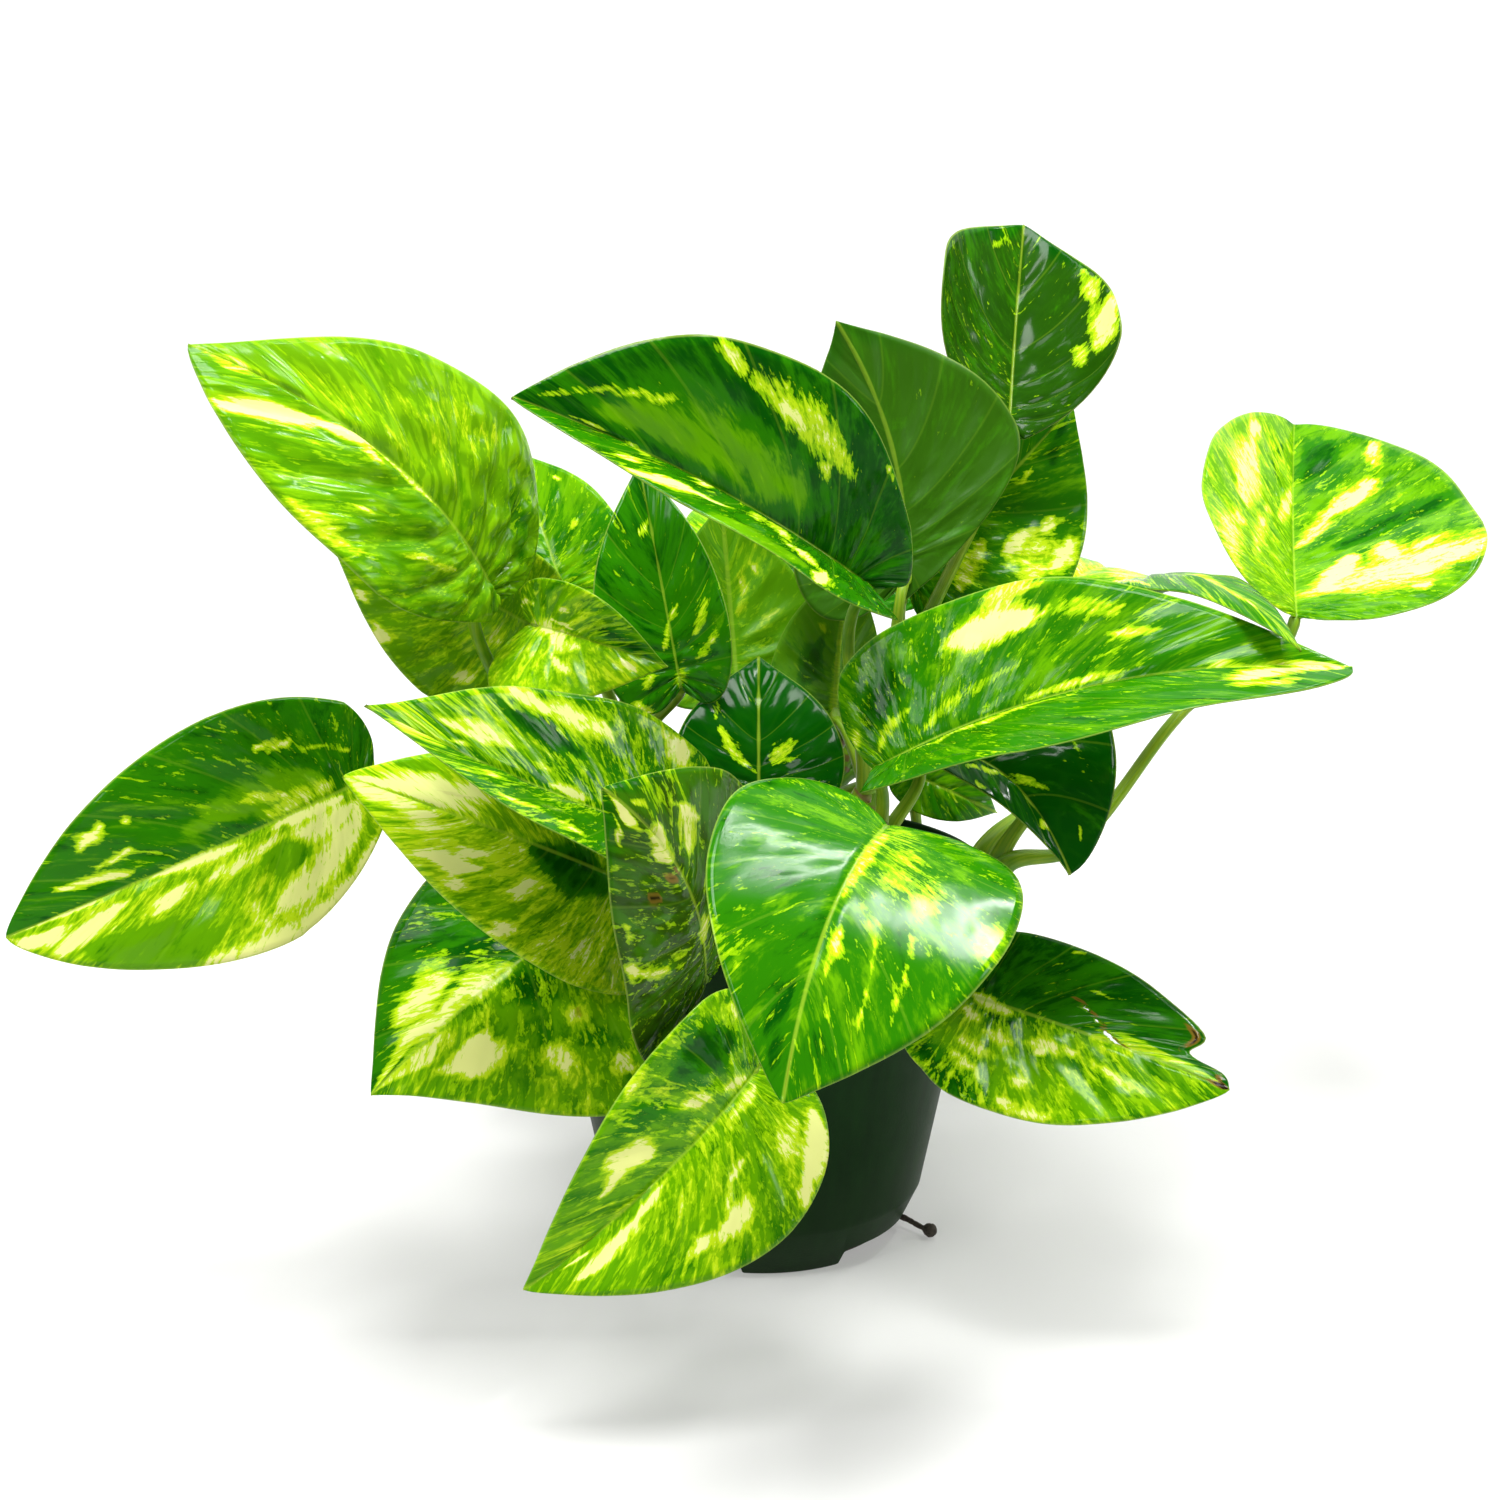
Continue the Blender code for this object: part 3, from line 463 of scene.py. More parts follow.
LEAVES = [
    leaf("leaf_far_left", (-0.087, -0.035, 0.122), (-0.164, -0.062, 0.093),
         half(0.026, fold=6, full=1.5, belly=0.02, lobe=0.3, neck=0.6, wave=0.03),
         half(0.0275, fold=6, full=1.3, belly=0.02, lobe=0.4, neck=0.2, wave=0.03),
         roll=5, arch=0.08),
    leaf("leaf_top_left", (-0.058, -0.040, 0.163), (-0.116, -0.072, 0.222),
         half(0.031, fold=4, full=1.35, belly=0.10, lobe=0.0, neck=0.75),
         half(0.032, fold=4), roll=-37, arch=0.15),
    leaf("leaf_top_middle", (0.024, -0.028, 0.163), (-0.052, -0.062, 0.210),
         half(0.030, fold=34, full=1.5, lobe=0.0, neck=0.4),
         half(0.034, fold=38, full=1.1, belly=0.09, neck=0.4), roll=-42, arch=0.05),
    leaf("leaf_turned", (0.033, 0.000, 0.159), (0.017, 0.018, 0.217),
         half(0.031, fold=8, belly=0.10, neck=0.7),
         half(0.028, fold=8), roll=180, arch=0.04, sway=0.08),
    leaf("leaf_crown", (0.0585, 0.026, 0.188), (0.0645, 0.064, 0.2355),
         half(0.036, fold=15, curl=65, full=1.2, belly=0.10, neck=0.8, lobe=0.0),
         half(0.033, fold=15, curl=65, full=1.2, neck=0.85, lobe=0.0),
         roll=-11, arch=-0.02),
    leaf("leaf_behind_crown", (0.035, 0.024, 0.152), (0.077, 0.056, 0.192),
         half(0.030), half(0.030, full=1.1), arch=0.03),
    leaf("leaf_left_low", (-0.0243, -0.053, 0.100), (-0.085, -0.094, 0.138),
         half(0.026, fold=12, full=1.2, lobe=0.0),
         half(0.022, fold=-10, full=1.3, lobe=0.0, neck=0.5),
         roll=-8, arch=0.08),
    leaf("leaf_left_high", (-0.014, -0.068, 0.116), (-0.078, -0.107, 0.156),
         half(0.025, fold=22, lobe=0.0, neck=0.8), half(0.025, fold=22, lobe=0.5),
         roll=-48, arch=-0.03),
    leaf("leaf_front_narrow", (-0.0125, -0.075, 0.087), (-0.032, -0.108, 0.1395),
         half(0.027, full=1.2, lobe=1.8), half(0.031, fold=-20, full=1.2, lobe=1.0),
         roll=-25, arch=0.05, sway=-0.08),
    leaf("leaf_front_heart", (0.0246, -0.098, 0.129), (0.003, -0.154, 0.092),
         half(0.034, fold=1.5, full=1.2, belly=0.03), half(0.028, fold=1.5, full=1.3),
         roll=5, arch=0.12, sway=-0.07),
    leaf("leaf_left_bottom", (-0.031, -0.042, 0.098), (-0.0825, -0.088, 0.067),
         half(0.050, fold=-14, full=1.0, belly=-0.02, lobe=0.0, neck=0.8, wave=0.03),
         half(0.035, fold=-8, full=1.1, lobe=0.0, neck=0.8), roll=-28, arch=0.06),
    leaf("leaf_right_long", (0.024, -0.045, 0.126), (0.124, -0.062, 0.153),
         half(0.030, fold=25, full=1.0, belly=-0.04, lobe=0.4),
         half(0.030, fold=25, full=2.0, belly=0.06, lobe=0.0, neck=0.5),
         roll=46, arch=0.10),
    leaf("leaf_front_bottom", (-0.001, -0.074, 0.068), (-0.049, -0.116, 0.036),
         half(0.028, fold=18, full=1.2, neck=0.15), half(0.025, fold=18, full=1.1, lobe=0.5),
         roll=20, arch=0.10),
    leaf("leaf_right_low", (0.043, -0.052, 0.077), (0.099, -0.080, 0.065),
         half(0.021, fold=-6, edge=TORN_EDGE), half(0.024, fold=-6, full=1.35, lobe=1.8),
         roll=25, arch=0.03),
    leaf("leaf_dark_right", (0.035, -0.022, 0.123), (0.067, -0.052, 0.104),
         half(0.032, fold=18, full=1.8), half(0.014, fold=18), roll=42, arch=0.26),
    leaf("leaf_far_right", (0.130, 0.030, 0.144), (0.143, 0.112, 0.179),
         half(0.034, fold=30, full=1.8), half(0.047, fold=30, full=1.7), roll=-20, arch=-0.02),
    leaf("leaf_right_edge", (0.080, 0.010, 0.152), (0.111, -0.072, 0.159),
         half(0.012, fold=-8), half(0.012, fold=-8), arch=0.12, face=(0, 0, 1)),
    leaf("leaf_right_back", (0.075, 0.090, 0.133), (0.105, 0.140, 0.128),
         half(0.025, fold=4), half(0.025, fold=4), arch=0.15, face=(0, -0.3, 1)),
    leaf("leaf_middle_dark", (-0.001, -0.020, 0.110), (-0.001, 0.005, 0.140),
         half(0.020), half(0.020), arch=0.05),
    leaf("leaf_inner_dark", (-0.019, -0.006, 0.135), (-0.029, 0.012, 0.185),
         half(0.019, fold=25), half(0.015, fold=25), arch=0.05),
    leaf("leaf_left_behind", (-0.046, 0.010, 0.152), (-0.060, 0.040, 0.183),
         half(0.019), half(0.018), arch=0.05),
    leaf("leaf_inner_olive", (-0.006, 0.022, 0.128), (-0.010, 0.040, 0.171),
         half(0.022), half(0.022), roll=180, arch=0.05),
    leaf("leaf_inner_stripe", (0.017, 0.010, 0.123), (0.021, 0.022, 0.160),
         half(0.016, fold=25), half(0.016, fold=25), roll=160, arch=0.05),
    leaf("leaf_left_small", (-0.052, -0.024, 0.154), (-0.021, -0.040, 0.148),
         half(0.012, fold=35), half(0.021, fold=20), roll=10, arch=0.08),
    leaf("leaf_left_under", (-0.0525, -0.0065, 0.1495), (-0.097, -0.039, 0.183),
         half(0.026, fold=8, lobe=0.3, neck=0.5), half(0.015, fold=8, lobe=0.3), arch=0.08),
    leaf("leaf_right_olive", (0.0345, 0.016, 0.109), (0.057, 0.018, 0.098),
         half(0.009, fold=0), half(0.008, fold=0), arch=0.25),
    leaf("leaf_back_high", (0.002, 0.060, 0.135), (-0.006, 0.108, 0.162),
         half(0.024), half(0.024), arch=0.10, face=(0, 0.5, 1)),
    leaf("leaf_back_middle", (0.042, 0.066, 0.140), (0.062, 0.100, 0.158),
         half(0.020), half(0.020), arch=0.10, face=(0.2, 0.6, 1)),
    leaf("leaf_back_left", (-0.035, 0.058, 0.122), (-0.058, 0.112, 0.118),
         half(0.024), half(0.024), arch=0.12, face=(-0.2, 0.5, 1)),
    leaf("leaf_back_right", (0.050, 0.062, 0.112), (0.072, 0.116, 0.104),
         half(0.023), half(0.023), arch=0.12, face=(0.2, 0.5, 1)),
    leaf("leaf_low_left", (-0.050, 0.044, 0.097), (-0.078, 0.088, 0.055),
         half(0.020), half(0.020), arch=0.12, face=(-0.6, 0.8, 0.4)),
    leaf("leaf_low_back", (0.002, 0.072, 0.082), (-0.006, 0.102, 0.032),
         half(0.024), half(0.024), arch=0.12, face=(0, 1, 0.4)),
    leaf("leaf_low_right", (0.043, 0.064, 0.074), (0.044, 0.094, 0.032),
         half(0.019), half(0.019), arch=0.12, face=(0.3, 1, 0.4)),
]


def colouring(pale=(0.15, 0.15), dark=(0.5, 0.5), quilt=1.0, **marks):
    """How one blade is coloured. Pale and dark say how far the left and right half lack pigment
    or are deep green, and quilt is how far the tissue swells between the veins. Each kind of mark
    is a list of strokes: from ray, out, to ray, out, width, strength. A ray is a side vein's share
    of the way from stalk to tip, and out is the share of the way along it, positive on the left.
    Bright marks take away deep green, and green marks take away pale tissue."""
    return dict(pale=pale, dark=dark, quilt=quilt, marks=marks)


COLOURING = {
    "leaf_far_left": colouring(pale=(0.38, 0.12), dark=(0.26, 0.68), pale_marks=[
        (.40, .45, .55, .65, .22, .78), (.36, .95, .62, .97, .12, .8),
        (.38, .25, .56, .20, .12, .8), (.40, .08, .62, .04, .06, .8),
        (.33, .30, .40, .60, .18, .55), (.86, .30, .88, .90, .12, .95),
        (.76, .30, .78, .50, .10, 1.0), (.93, .50, .96, .90, .20, .8),
        (.70, .08, .82, .02, .07, .8), (.60, .15, .72, .30, .08, .5),
        (.56, .85, .62, .60, .06, .5), (.90, .05, .99, .00, .10, .8),
        (.42, -.10, .62, -.08, .10, .5), (.55, -.15, .62, -.30, .07, .6),
        (.44, -.55, .50, -.62, .05, .75), (.30, -.42, .45, -.50, .03, .45),
        (.83, -.25, .88, -.70, .09, .75), (.77, -.50, .82, -.55, .05, .65),
        (.73, -.84, .78, -.82, .06, .85), (.72, -.70, .72, -.75, .03, .7)],
        green_marks=[(.54, .38, .62, .28, .12, .8), (.66, .85, .82, .80, .18, .9)],
        bright_marks=[(.45, -.20, .70, -.30, .20, .5)]),
    # Deep green below zero gives most of this blade the lighter lime: painted light for the light
    # and sheen on it.
    "leaf_top_left": colouring(pale=(0.16, 0.17), dark=(0.04, -0.10), quilt=2.8, pale_marks=[
        (.84, .95, .85, .30, .11, 1.0), (.85, .30, .80, .05, .09, 1.0),
        (.76, .20, .80, .10, .06, .7), (.66, .02, .78, .03, .04, .6),
        (.56, .60, .55, .45, .04, .55), (.58, .90, .66, .95, .08, .5),
        (.64, .65, .66, .62, .03, .7), (.50, .30, .55, .50, .05, .45),
        (.95, .50, .95, -.50, .12, .5), (.72, -.20, .85, -.60, .25, .25),
        (.50, -.75, .70, -.60, .20, .22), (.60, -.20, .66, -.50, .12, .3)],
        dark_marks=[(.25, -.60, .42, -.60, .15, .5)]),
    "leaf_top_middle": colouring(pale=(0.14, 0.0), dark=(0.75, 0.9), pale_marks=[
        (.50, .95, .50, .60, .07, .9), (.52, .60, .60, .40, .10, .7),
        (.60, .30, .66, .20, .10, .5), (.76, .95, .74, .60, .10, .95),
        (.70, .50, .72, .55, .08, .9), (.66, .45, .68, .20, .06, .55),
        (.76, .30, .78, .03, .05, .9), (.84, .30, .88, -.10, .06, .6),
        (.90, -.15, .93, -.25, .06, .6), (.80, .80, .83, .60, .08, .5),
        (.46, -.57, .60, -.80, .17, .58), (.62, -.85, .62, -.97, .08, .7),
        (.52, -.42, .52, -.50, .06, .7), (.56, -.68, .58, -.75, .06, 1.0),
        (.74, -.65, .86, -.80, .04, .5), (.85, -.80, .95, -.80, .06, .45),
        (.37, -.93, .37, -.95, .04, .8)],
        bright_marks=[(.55, .80, .65, .90, .20, .6), (.60, -.30, .85, -.50, .35, .5)]),
    "leaf_turned": colouring(pale=(0.0, 0.0), dark=(1.0, 1.0),
        brown_marks=[(.0, .0, 1.0, .0, 3.0, .39)]),
    "leaf_crown": colouring(pale=(0.12, 0.04), dark=(0.9, 1.1),
        brown_marks=[(.0, .0, 1.0, .0, 3.0, .39)], pale_marks=[
        (.57, -.75, .62, -.95, .18, .85), (.55, -.60, .60, -.55, .10, .6),
        (.68, -.85, .76, -.92, .10, .6), (.85, .80, .90, .75, .06, .4)]),
    "leaf_behind_crown": colouring(pale=(0.05, 0.14), dark=(0.7, 0.55), pale_marks=[
        (.55, -.75, .65, -.60, .20, .5), (.58, -.85, .64, -.90, .10, .9),
        (.60, -.45, .66, -.50, .08, .85), (.67, -.65, .69, -.75, .07, .7),
        (.42, -.30, .62, -.22, .10, .5), (.80, -.28, .83, -.30, .06, .5)],
        dark_marks=[(.84, -.60, .95, -.50, .20, .8)]),
    "leaf_left_low": colouring(pale=(0.45, 0.43), dark=(0.30, 0.20), quilt=1.4, pale_marks=[
        (.86, .60, .93, .30, .20, .6), (.95, .80, .97, .00, .25, .7),
        (.75, .65, .79, .85, .10, .9), (.72, .90, .74, .80, .05, .8),
        (.78, .45, .78, .60, .05, .8), (.67, .65, .69, .40, .05, .8),
        (.62, .95, .64, .85, .05, .8), (.49, .85, .50, .60, .05, .6),
        (.80, -.55, .92, -.50, .30, .7), (.90, -.20, .96, -.60, .25, .8)],
        dark_marks=[(.55, .12, .72, .05, .25, 1.0)],
        green_marks=[(.55, .12, .72, .05, .25, .9), (.82, -.85, .86, -.95, .08, .7)],
        brown_marks=[(.80, -.45, .86, -.50, .10, .42)]),
    "leaf_left_high": colouring(pale=(0.24, 0.29), dark=(0.68, 0.58), pale_marks=[
        (.90, .90, .95, .20, .20, .5), (.68, .75, .72, .85, .07, .6),
        (.77, .60, .80, .40, .06, .5), (.60, .75, .65, .80, .06, .5),
        (.66, -.08, .72, -.10, .06, .8), (.38, -.75, .36, -.90, .18, .7),
        (.53, -.72, .62, -.85, .13, .72), (.62, -.85, .68, -.97, .08, .8),
        (.76, -.50, .80, -.70, .14, .68), (.80, -.45, .84, -.75, .08, .7),
        (.87, -.30, .84, -.40, .05, .7), (.71, -.28, .73, -.35, .05, .6)],
        dark_marks=[(.62, -.50, .70, -.80, .12, .8), (.47, -.70, .50, -.90, .08, .5)],
        green_marks=[(.62, -.50, .70, -.75, .10, .8)]),
    "leaf_front_narrow": colouring(pale=(0.17, 0.19), dark=(0.9, 0.85), quilt=1.4, pale_marks=[
        (.58, .85, .60, .95, .07, .7), (.55, .50, .57, .80, .05, .6),
        (.67, .90, .68, .85, .03, .7), (.83, .30, .86, -.20, .10, .85),
        (.88, .20, .86, -.30, .10, .7), (.92, .60, .95, .20, .12, 1.0),
        (.84, .85, .92, .75, .04, .8), (.90, -.60, .93, -.40, .06, .6),
        (.77, -.30, .76, -.65, .13, .65), (.72, -.60, .80, -.65, .06, .8),
        (.54, .00, .62, -.05, .08, .55)], brown_marks=[
        (.0, .0, 1.0, .0, 3.0, .41), (.73, .60, .74, .45, .05, .9), (.77, .35, .79, .05, .03, .8)]),
    "leaf_front_heart": colouring(pale=(0.15, 0.11), dark=(0.56, 0.60), quilt=0.15, pale_marks=[
        (.12, .30, .35, .08, .25, .25), (.30, .04, .70, .03, .05, .5),
        (.38, .20, .58, .25, .15, .25), (.46, .45, .60, .50, .10, .25),
        (.76, .15, .82, .20, .10, .5), (.45, .90, .55, .90, .08, .35),
        (.63, .55, .75, .85, .02, .45), (.70, .40, .80, .75, .02, .4),
        (.64, -.98, .82, -.97, .03, .5), (.72, -.84, .78, -.90, .03, .3),
        (.20, -.70, .25, -.75, .08, .35)],
        dark_marks=[(.85, .90, .92, .40, .15, .6), (.85, -.30, .92, -.80, .15, .6)],
        brown_marks=[(.95, .00, 1.0, .00, .10, .5), (.90, .97, .96, .90, .08, .42)]),
    "leaf_left_bottom": colouring(pale=(0.28, 0.14), dark=(0.38, 0.75), pale_marks=[
        (.82, .75, .82, .45, .09, .95), (.86, .75, .85, .60, .05, .85),
        (.70, .75, .71, .60, .05, .6), (.61, .70, .60, .80, .04, .7),
        (.65, .50, .66, .42, .05, .5), (.92, .50, .95, .10, .20, .5),
        (.79, -.05, .88, -.30, .26, .62), (.79, -.50, .82, -.75, .19, .6),
        (.86, -.50, .96, -.40, .30, .6), (.80, -.15, .83, -.30, .06, .9)], dark_marks=[
        (.70, .30, .75, .10, .10, .9), (.62, .60, .66, .60, .08, .7),
        (.70, -.30, .72, -.50, .12, 1.0)], brown_marks=[(.66, .50, .65, .40, .04, .5)]),
    "leaf_right_long": colouring(pale=(0.15, 0.13), dark=(0.52, 0.62), pale_marks=[
        (.50, .68, .60, .72, .16, 1.0), (.53, .92, .58, .95, .10, .7),
        (.62, .80, .70, .80, .08, .4), (.72, .60, .75, .65, .06, .65),
        (.20, .20, .42, .30, .06, .4), (.12, .90, .20, .65, .10, .5),
        (.68, .05, .78, .15, .06, .6), (.76, .20, .78, .05, .05, .5),
        (.88, .30, .92, -.30, .08, .55), (.45, .10, .62, .35, .06, .3),
        (.42, -.12, .72, -.10, .05, .5), (.85, -.60, .95, -.40, .18, .8),
        (.80, -.75, .88, -.80, .10, .55), (.96, .50, .97, -.50, .20, .7)],
        dark_marks=[(.25, .50, .42, .55, .20, .8)]),
    "leaf_front_bottom": colouring(pale=(0.30, 0.28), dark=(0.38, 0.42), pale_marks=[
        (.30, .85, .42, .85, .15, 1.0), (.43, .85, .45, .95, .08, 1.0),
        (.36, .60, .45, .55, .15, .5), (.58, .65, .64, .75, .09, .9),
        (.66, .70, .69, .80, .06, .9), (.56, .38, .60, .42, .03, .7),
        (.60, .35, .63, .60, .03, .6), (.82, .30, .88, .75, .11, .9),
        (.77, .10, .82, .30, .06, .7), (.90, .35, .93, .40, .05, .9),
        (.33, .08, .55, .08, .05, .6), (.36, -.06, .50, -.15, .06, .6),
        (.55, -.25, .60, -.40, .09, .55), (.72, -.40, .72, -.75, .13, .9),
        (.72, -.60, .79, -.60, .07, .9), (.83, .00, .84, -.15, .06, .5),
        (.55, -.97, .60, -.95, .06, .55), (.30, -.70, .33, -.85, .06, .6)], dark_marks=[
        (.35, -.50, .52, -.65, .25, 1.0), (.60, -.60, .66, -.80, .12, .7),
        (.10, -.15, .35, -.20, .06, .8)], green_marks=[(.38, -.50, .52, -.65, .20, .9)]),
    "leaf_right_low": colouring(pale=(0.06, 0.32), dark=(0.85, 0.40), pale_marks=[
        (.62, .62, .64, .60, .04, .5), (.50, .95, .50, .95, .06, .5),
        (.80, .10, .95, .50, .30, .42), (.75, .20, .85, .60, .12, .4),
        (.30, .03, .55, -.05, .07, .75), (.30, -.17, .42, -.20, .06, .7),
        (.36, -.45, .50, -.50, .05, .55), (.36, -.62, .44, -.68, .05, .5),
        (.45, -.30, .55, -.33, .07, .6), (.60, -.30, .72, -.30, .08, .6),
        (.62, -.37, .64, -.37, .03, .95), (.54, -.70, .57, -.68, .06, .7),
        (.68, -.50, .71, -.65, .05, .6), (.75, -.40, .79, -.65, .05, .65),
        (.50, -.90, .60, -.95, .05, .6), (.86, -.50, .88, -.80, .10, .4)],
        dark_marks=[(.28, -.85, .45, -.90, .20, .9), (.42, -.10, .56, -.15, .05, .9)],
        bright_marks=[(.80, .10, .95, .50, .30, .9)], brown_marks=[
        (.61, .45, .73, .32, .03, .8), (.73, .30, .84, .05, .04, .85),
        (.69, .97, .82, .90, .04, .9), (.98, .80, .99, -.50, .12, 1.0),
        (.92, .95, .97, .60, .05, .9)]),
    "leaf_dark_right": colouring(pale=(0.0, 0.02), dark=(1.05, 1.0), pale_marks=[
        (.72, .70, .74, .75, .05, .5), (.92, .65, .93, .70, .04, .5),
        (.62, -.60, .78, -.10, .06, .5), (.78, -.10, .84, .35, .04, .5),
        (.86, -.70, .93, -.05, .03, .6), (.65, -.88, .63, -.95, .04, .5)]),
    "leaf_far_right": colouring(pale=(0.32, 0.14), dark=(0.30, 0.42), pale_marks=[
        (.25, .95, .50, .60, .12, .5), (.60, .60, .78, .75, .18, .6),
        (.80, .85, .84, .85, .10, .85), (.72, .20, .85, .05, .08, .6),
        (.40, .45, .70, .35, .06, .4), (.42, -.15, .44, -.90, .35, .7),
        (.42, -.15, .55, -.30, .13, .95), (.50, -.50, .55, -.50, .10, .9),
        (.50, -.75, .50, -.65, .06, .95), (.33, -.70, .34, -.80, .06, .9),
        (.68, -.05, .75, -.30, .09, .65), (.74, -.30, .75, -.65, .10, .85),
        (.78, -.75, .84, -.95, .06, .8)], dark_marks=[
        (.80, .40, .90, .45, .08, .8), (.62, -.30, .62, -.90, .12, .8),
        (.85, -.20, .90, -.60, .25, .6)]),
    "leaf_right_edge": colouring(pale=(0.19, 0.21), dark=(0.65, 0.6), pale_marks=[
        (.70, .30, .90, -.30, .20, .5), (.40, -.60, .60, -.80, .12, .6),
        (.30, .50, .50, .70, .10, .6)]),
    "leaf_right_back": colouring(pale=(0.34, 0.36), dark=(0.35, 0.35),
        pale_marks=[(.50, .30, .90, .10, .30, .3), (.60, -.50, .85, -.50, .20, .4)]),
    "leaf_middle_dark": colouring(pale=(0.0, 0.0), dark=(1.2, 1.2), pale_marks=[
        (.56, .05, .66, .60, .09, .5), (.68, .70, .72, .85, .05, .35),
        (.60, -.20, .63, -.45, .18, .5), (.83, -.65, .83, -.65, .05, .55),
        (.76, -.20, .76, -.20, .04, .4)]),
    "leaf_inner_dark": colouring(pale=(0.10, 0.10), dark=(0.76, 0.72), pale_marks=[
        (.80, .55, .88, .15, .04, .6), (.76, .80, .76, .80, .04, .5),
        (.05, .10, .35, -.10, .20, .4), (.20, .95, .28, .85, .08, .7),
        (.30, .60, .36, .40, .08, .45), (.50, .15, .63, .00, .05, .55),
        (.63, .00, .64, -.25, .06, .5), (.40, -.40, .45, -.75, .10, .4),
        (.50, -.45, .55, -.70, .10, .4)]),
    "leaf_left_behind": colouring(pale=(0.20, 0.20), dark=(0.45, 0.45),
        pale_marks=[(.76, -.82, .76, -.84, .06, .8), (.62, -.45, .62, -.55, .06, .5)]),
    "leaf_inner_olive": colouring(pale=(0.22, 0.22), dark=(0.28, 0.28), pale_marks=[
        (.76, .65, .77, .60, .06, .75), (.70, .10, .76, .40, .08, .45),
        (.76, .35, .78, .30, .07, .5), (.60, .70, .64, .40, .05, .35)]),
    "leaf_inner_stripe": colouring(pale=(0.14, 0.12), dark=(0.30, 0.33), pale_marks=[
        (.30, -.03, .80, .00, .08, .35), (.74, -.40, .74, -.60, .05, .5),
        (.67, -.95, .67, -.95, .06, .5)], dark_marks=[(.50, -.50, .70, -.40, .15, .9)]),
    "leaf_left_small": colouring(pale=(0.26, 0.38), dark=(0.40, 0.2), pale_marks=[
        (.15, .95, .32, .50, .06, .6), (.35, .70, .36, .70, .05, .6),
        (.52, .50, .57, .48, .07, .6), (.50, .22, .65, .18, .04, .8),
        (.10, .10, .65, .00, .15, .5), (.45, .00, .55, -.05, .05, .8),
        (.55, -.10, .70, -.20, .14, .6), (.58, -.35, .66, -.60, .06, .8),
        (.85, -.40, .86, -.80, .09, .85)],
        dark_marks=[(.75, .50, .90, .60, .30, .9), (.76, -.60, .78, -.80, .10, .5)]),
    "leaf_left_under": colouring(pale=(0.30, 0.30), dark=(0.26, 0.26), pale_marks=[
        (.45, .75, .50, .70, .08, .8), (.66, .97, .69, .95, .07, 1.0),
        (.75, .95, .76, .92, .07, 1.1), (.45, .30, .52, .20, .10, .5)],
        brown_marks=[(.0, .0, 1.0, .0, 3.0, .40)]),
    "leaf_right_olive": colouring(pale=(0.12, 0.12), dark=(0.5, 0.5),
        pale_marks=[(.72, .30, .74, -.40, .04, .45)]),
    "leaf_back_high": colouring(pale=(0.30, 0.12), dark=(0.4, 0.7), pale_marks=[
        (.30, .20, .55, .70, .12, .9), (.60, .30, .75, .60, .08, .7),
        (.45, -.60, .60, -.75, .07, .7)], dark_marks=[(.40, -.30, .60, -.50, .20, .8)]),
    "leaf_back_middle": colouring(pale=(0.10, 0.28), dark=(0.75, 0.4), pale_marks=[
        (.25, -.20, .50, -.80, .14, .85), (.65, -.30, .80, -.60, .10, .9),
        (.50, .50, .65, .70, .05, .6)]),
    "leaf_back_left": colouring(pale=(0.20, 0.22), dark=(0.5, 0.6), pale_marks=[
        (.20, .40, .45, .80, .10, .9), (.55, -.20, .75, -.50, .12, .7),
        (.70, .30, .80, .50, .06, .8)]),
    "leaf_back_right": colouring(pale=(0.15, 0.30), dark=(0.6, 0.4), pale_marks=[
        (.35, -.30, .60, -.60, .16, .8), (.50, .30, .70, .70, .07, .7),
        (.80, -.20, .92, -.30, .10, .7)]),
    "leaf_low_left": colouring(pale=(0.28, 0.10), dark=(0.4, 0.8), pale_marks=[
        (.30, .30, .50, .85, .12, .9), (.65, .20, .80, .55, .10, .7),
        (.50, -.70, .60, -.85, .05, .6)]),
    "leaf_low_back": colouring(pale=(0.20, 0.25), dark=(0.55, 0.5), pale_marks=[
        (.40, -.40, .60, -.80, .12, .85), (.30, .60, .45, .90, .08, .8),
        (.75, .10, .85, .40, .08, .6)]),
    "leaf_low_right": colouring(pale=(0.12, 0.24), dark=(0.7, 0.45), pale_marks=[
        (.35, -.20, .55, -.55, .10, .8), (.60, .50, .72, .75, .06, .7),
        (.80, -.30, .90, -.20, .08, .7)]),
}


# Shares of the length up to which the neck narrows a blade and from which full rounds it out.
NECK_END = 0.4
FULL_START = 0.3
# Points stand closer at the midrib, side veins bend to the tip, and the edge waves up and down.
STEP_CROWDING = 1.4
VEIN_BEND = 1.3
EDGE_WAVES = 2.1


def smooth_curve(knots, places):
    """Points of a Catmull-Rom curve through the knots, at places counted in knots."""
    knots = np.array(knots, float)
    last = len(knots) - 1
    index = np.clip(places.astype(int), 0, last - 1)
    t = (places - index)[:, None]
    a, b, c, d = (knots[np.clip(index + k, 0, last)] for k in (-1, 0, 1, 2))
    return 0.5 * (2 * b + (c - a) * t + (2 * a - 5 * b + 4 * c - d) * t ** 2
                  + (3 * b - a - 3 * c + d) * t ** 3)


def edge_curve(part, rays):
    """The edge of one half at each ray: share of the length, share of the half width, vein."""
    x, y, vein = smooth_curve(part["edge"], rays * (len(part["edge"]) - 1)).T
    x = np.where(x < 0.0, x * part["lobe"], x)
    y = np.where(x < NECK_END, y * (1.0 - part["neck"] * (1.0 - x / NECK_END) ** 2), y)
    y = np.where(x > FULL_START, np.maximum(y, 0.0) ** (1.0 / part["full"]), y)
    x = x + part["belly"] * np.maximum(0.0, 4.0 * x * (1.0 - x))
    return x, np.maximum(y, 0.0), vein


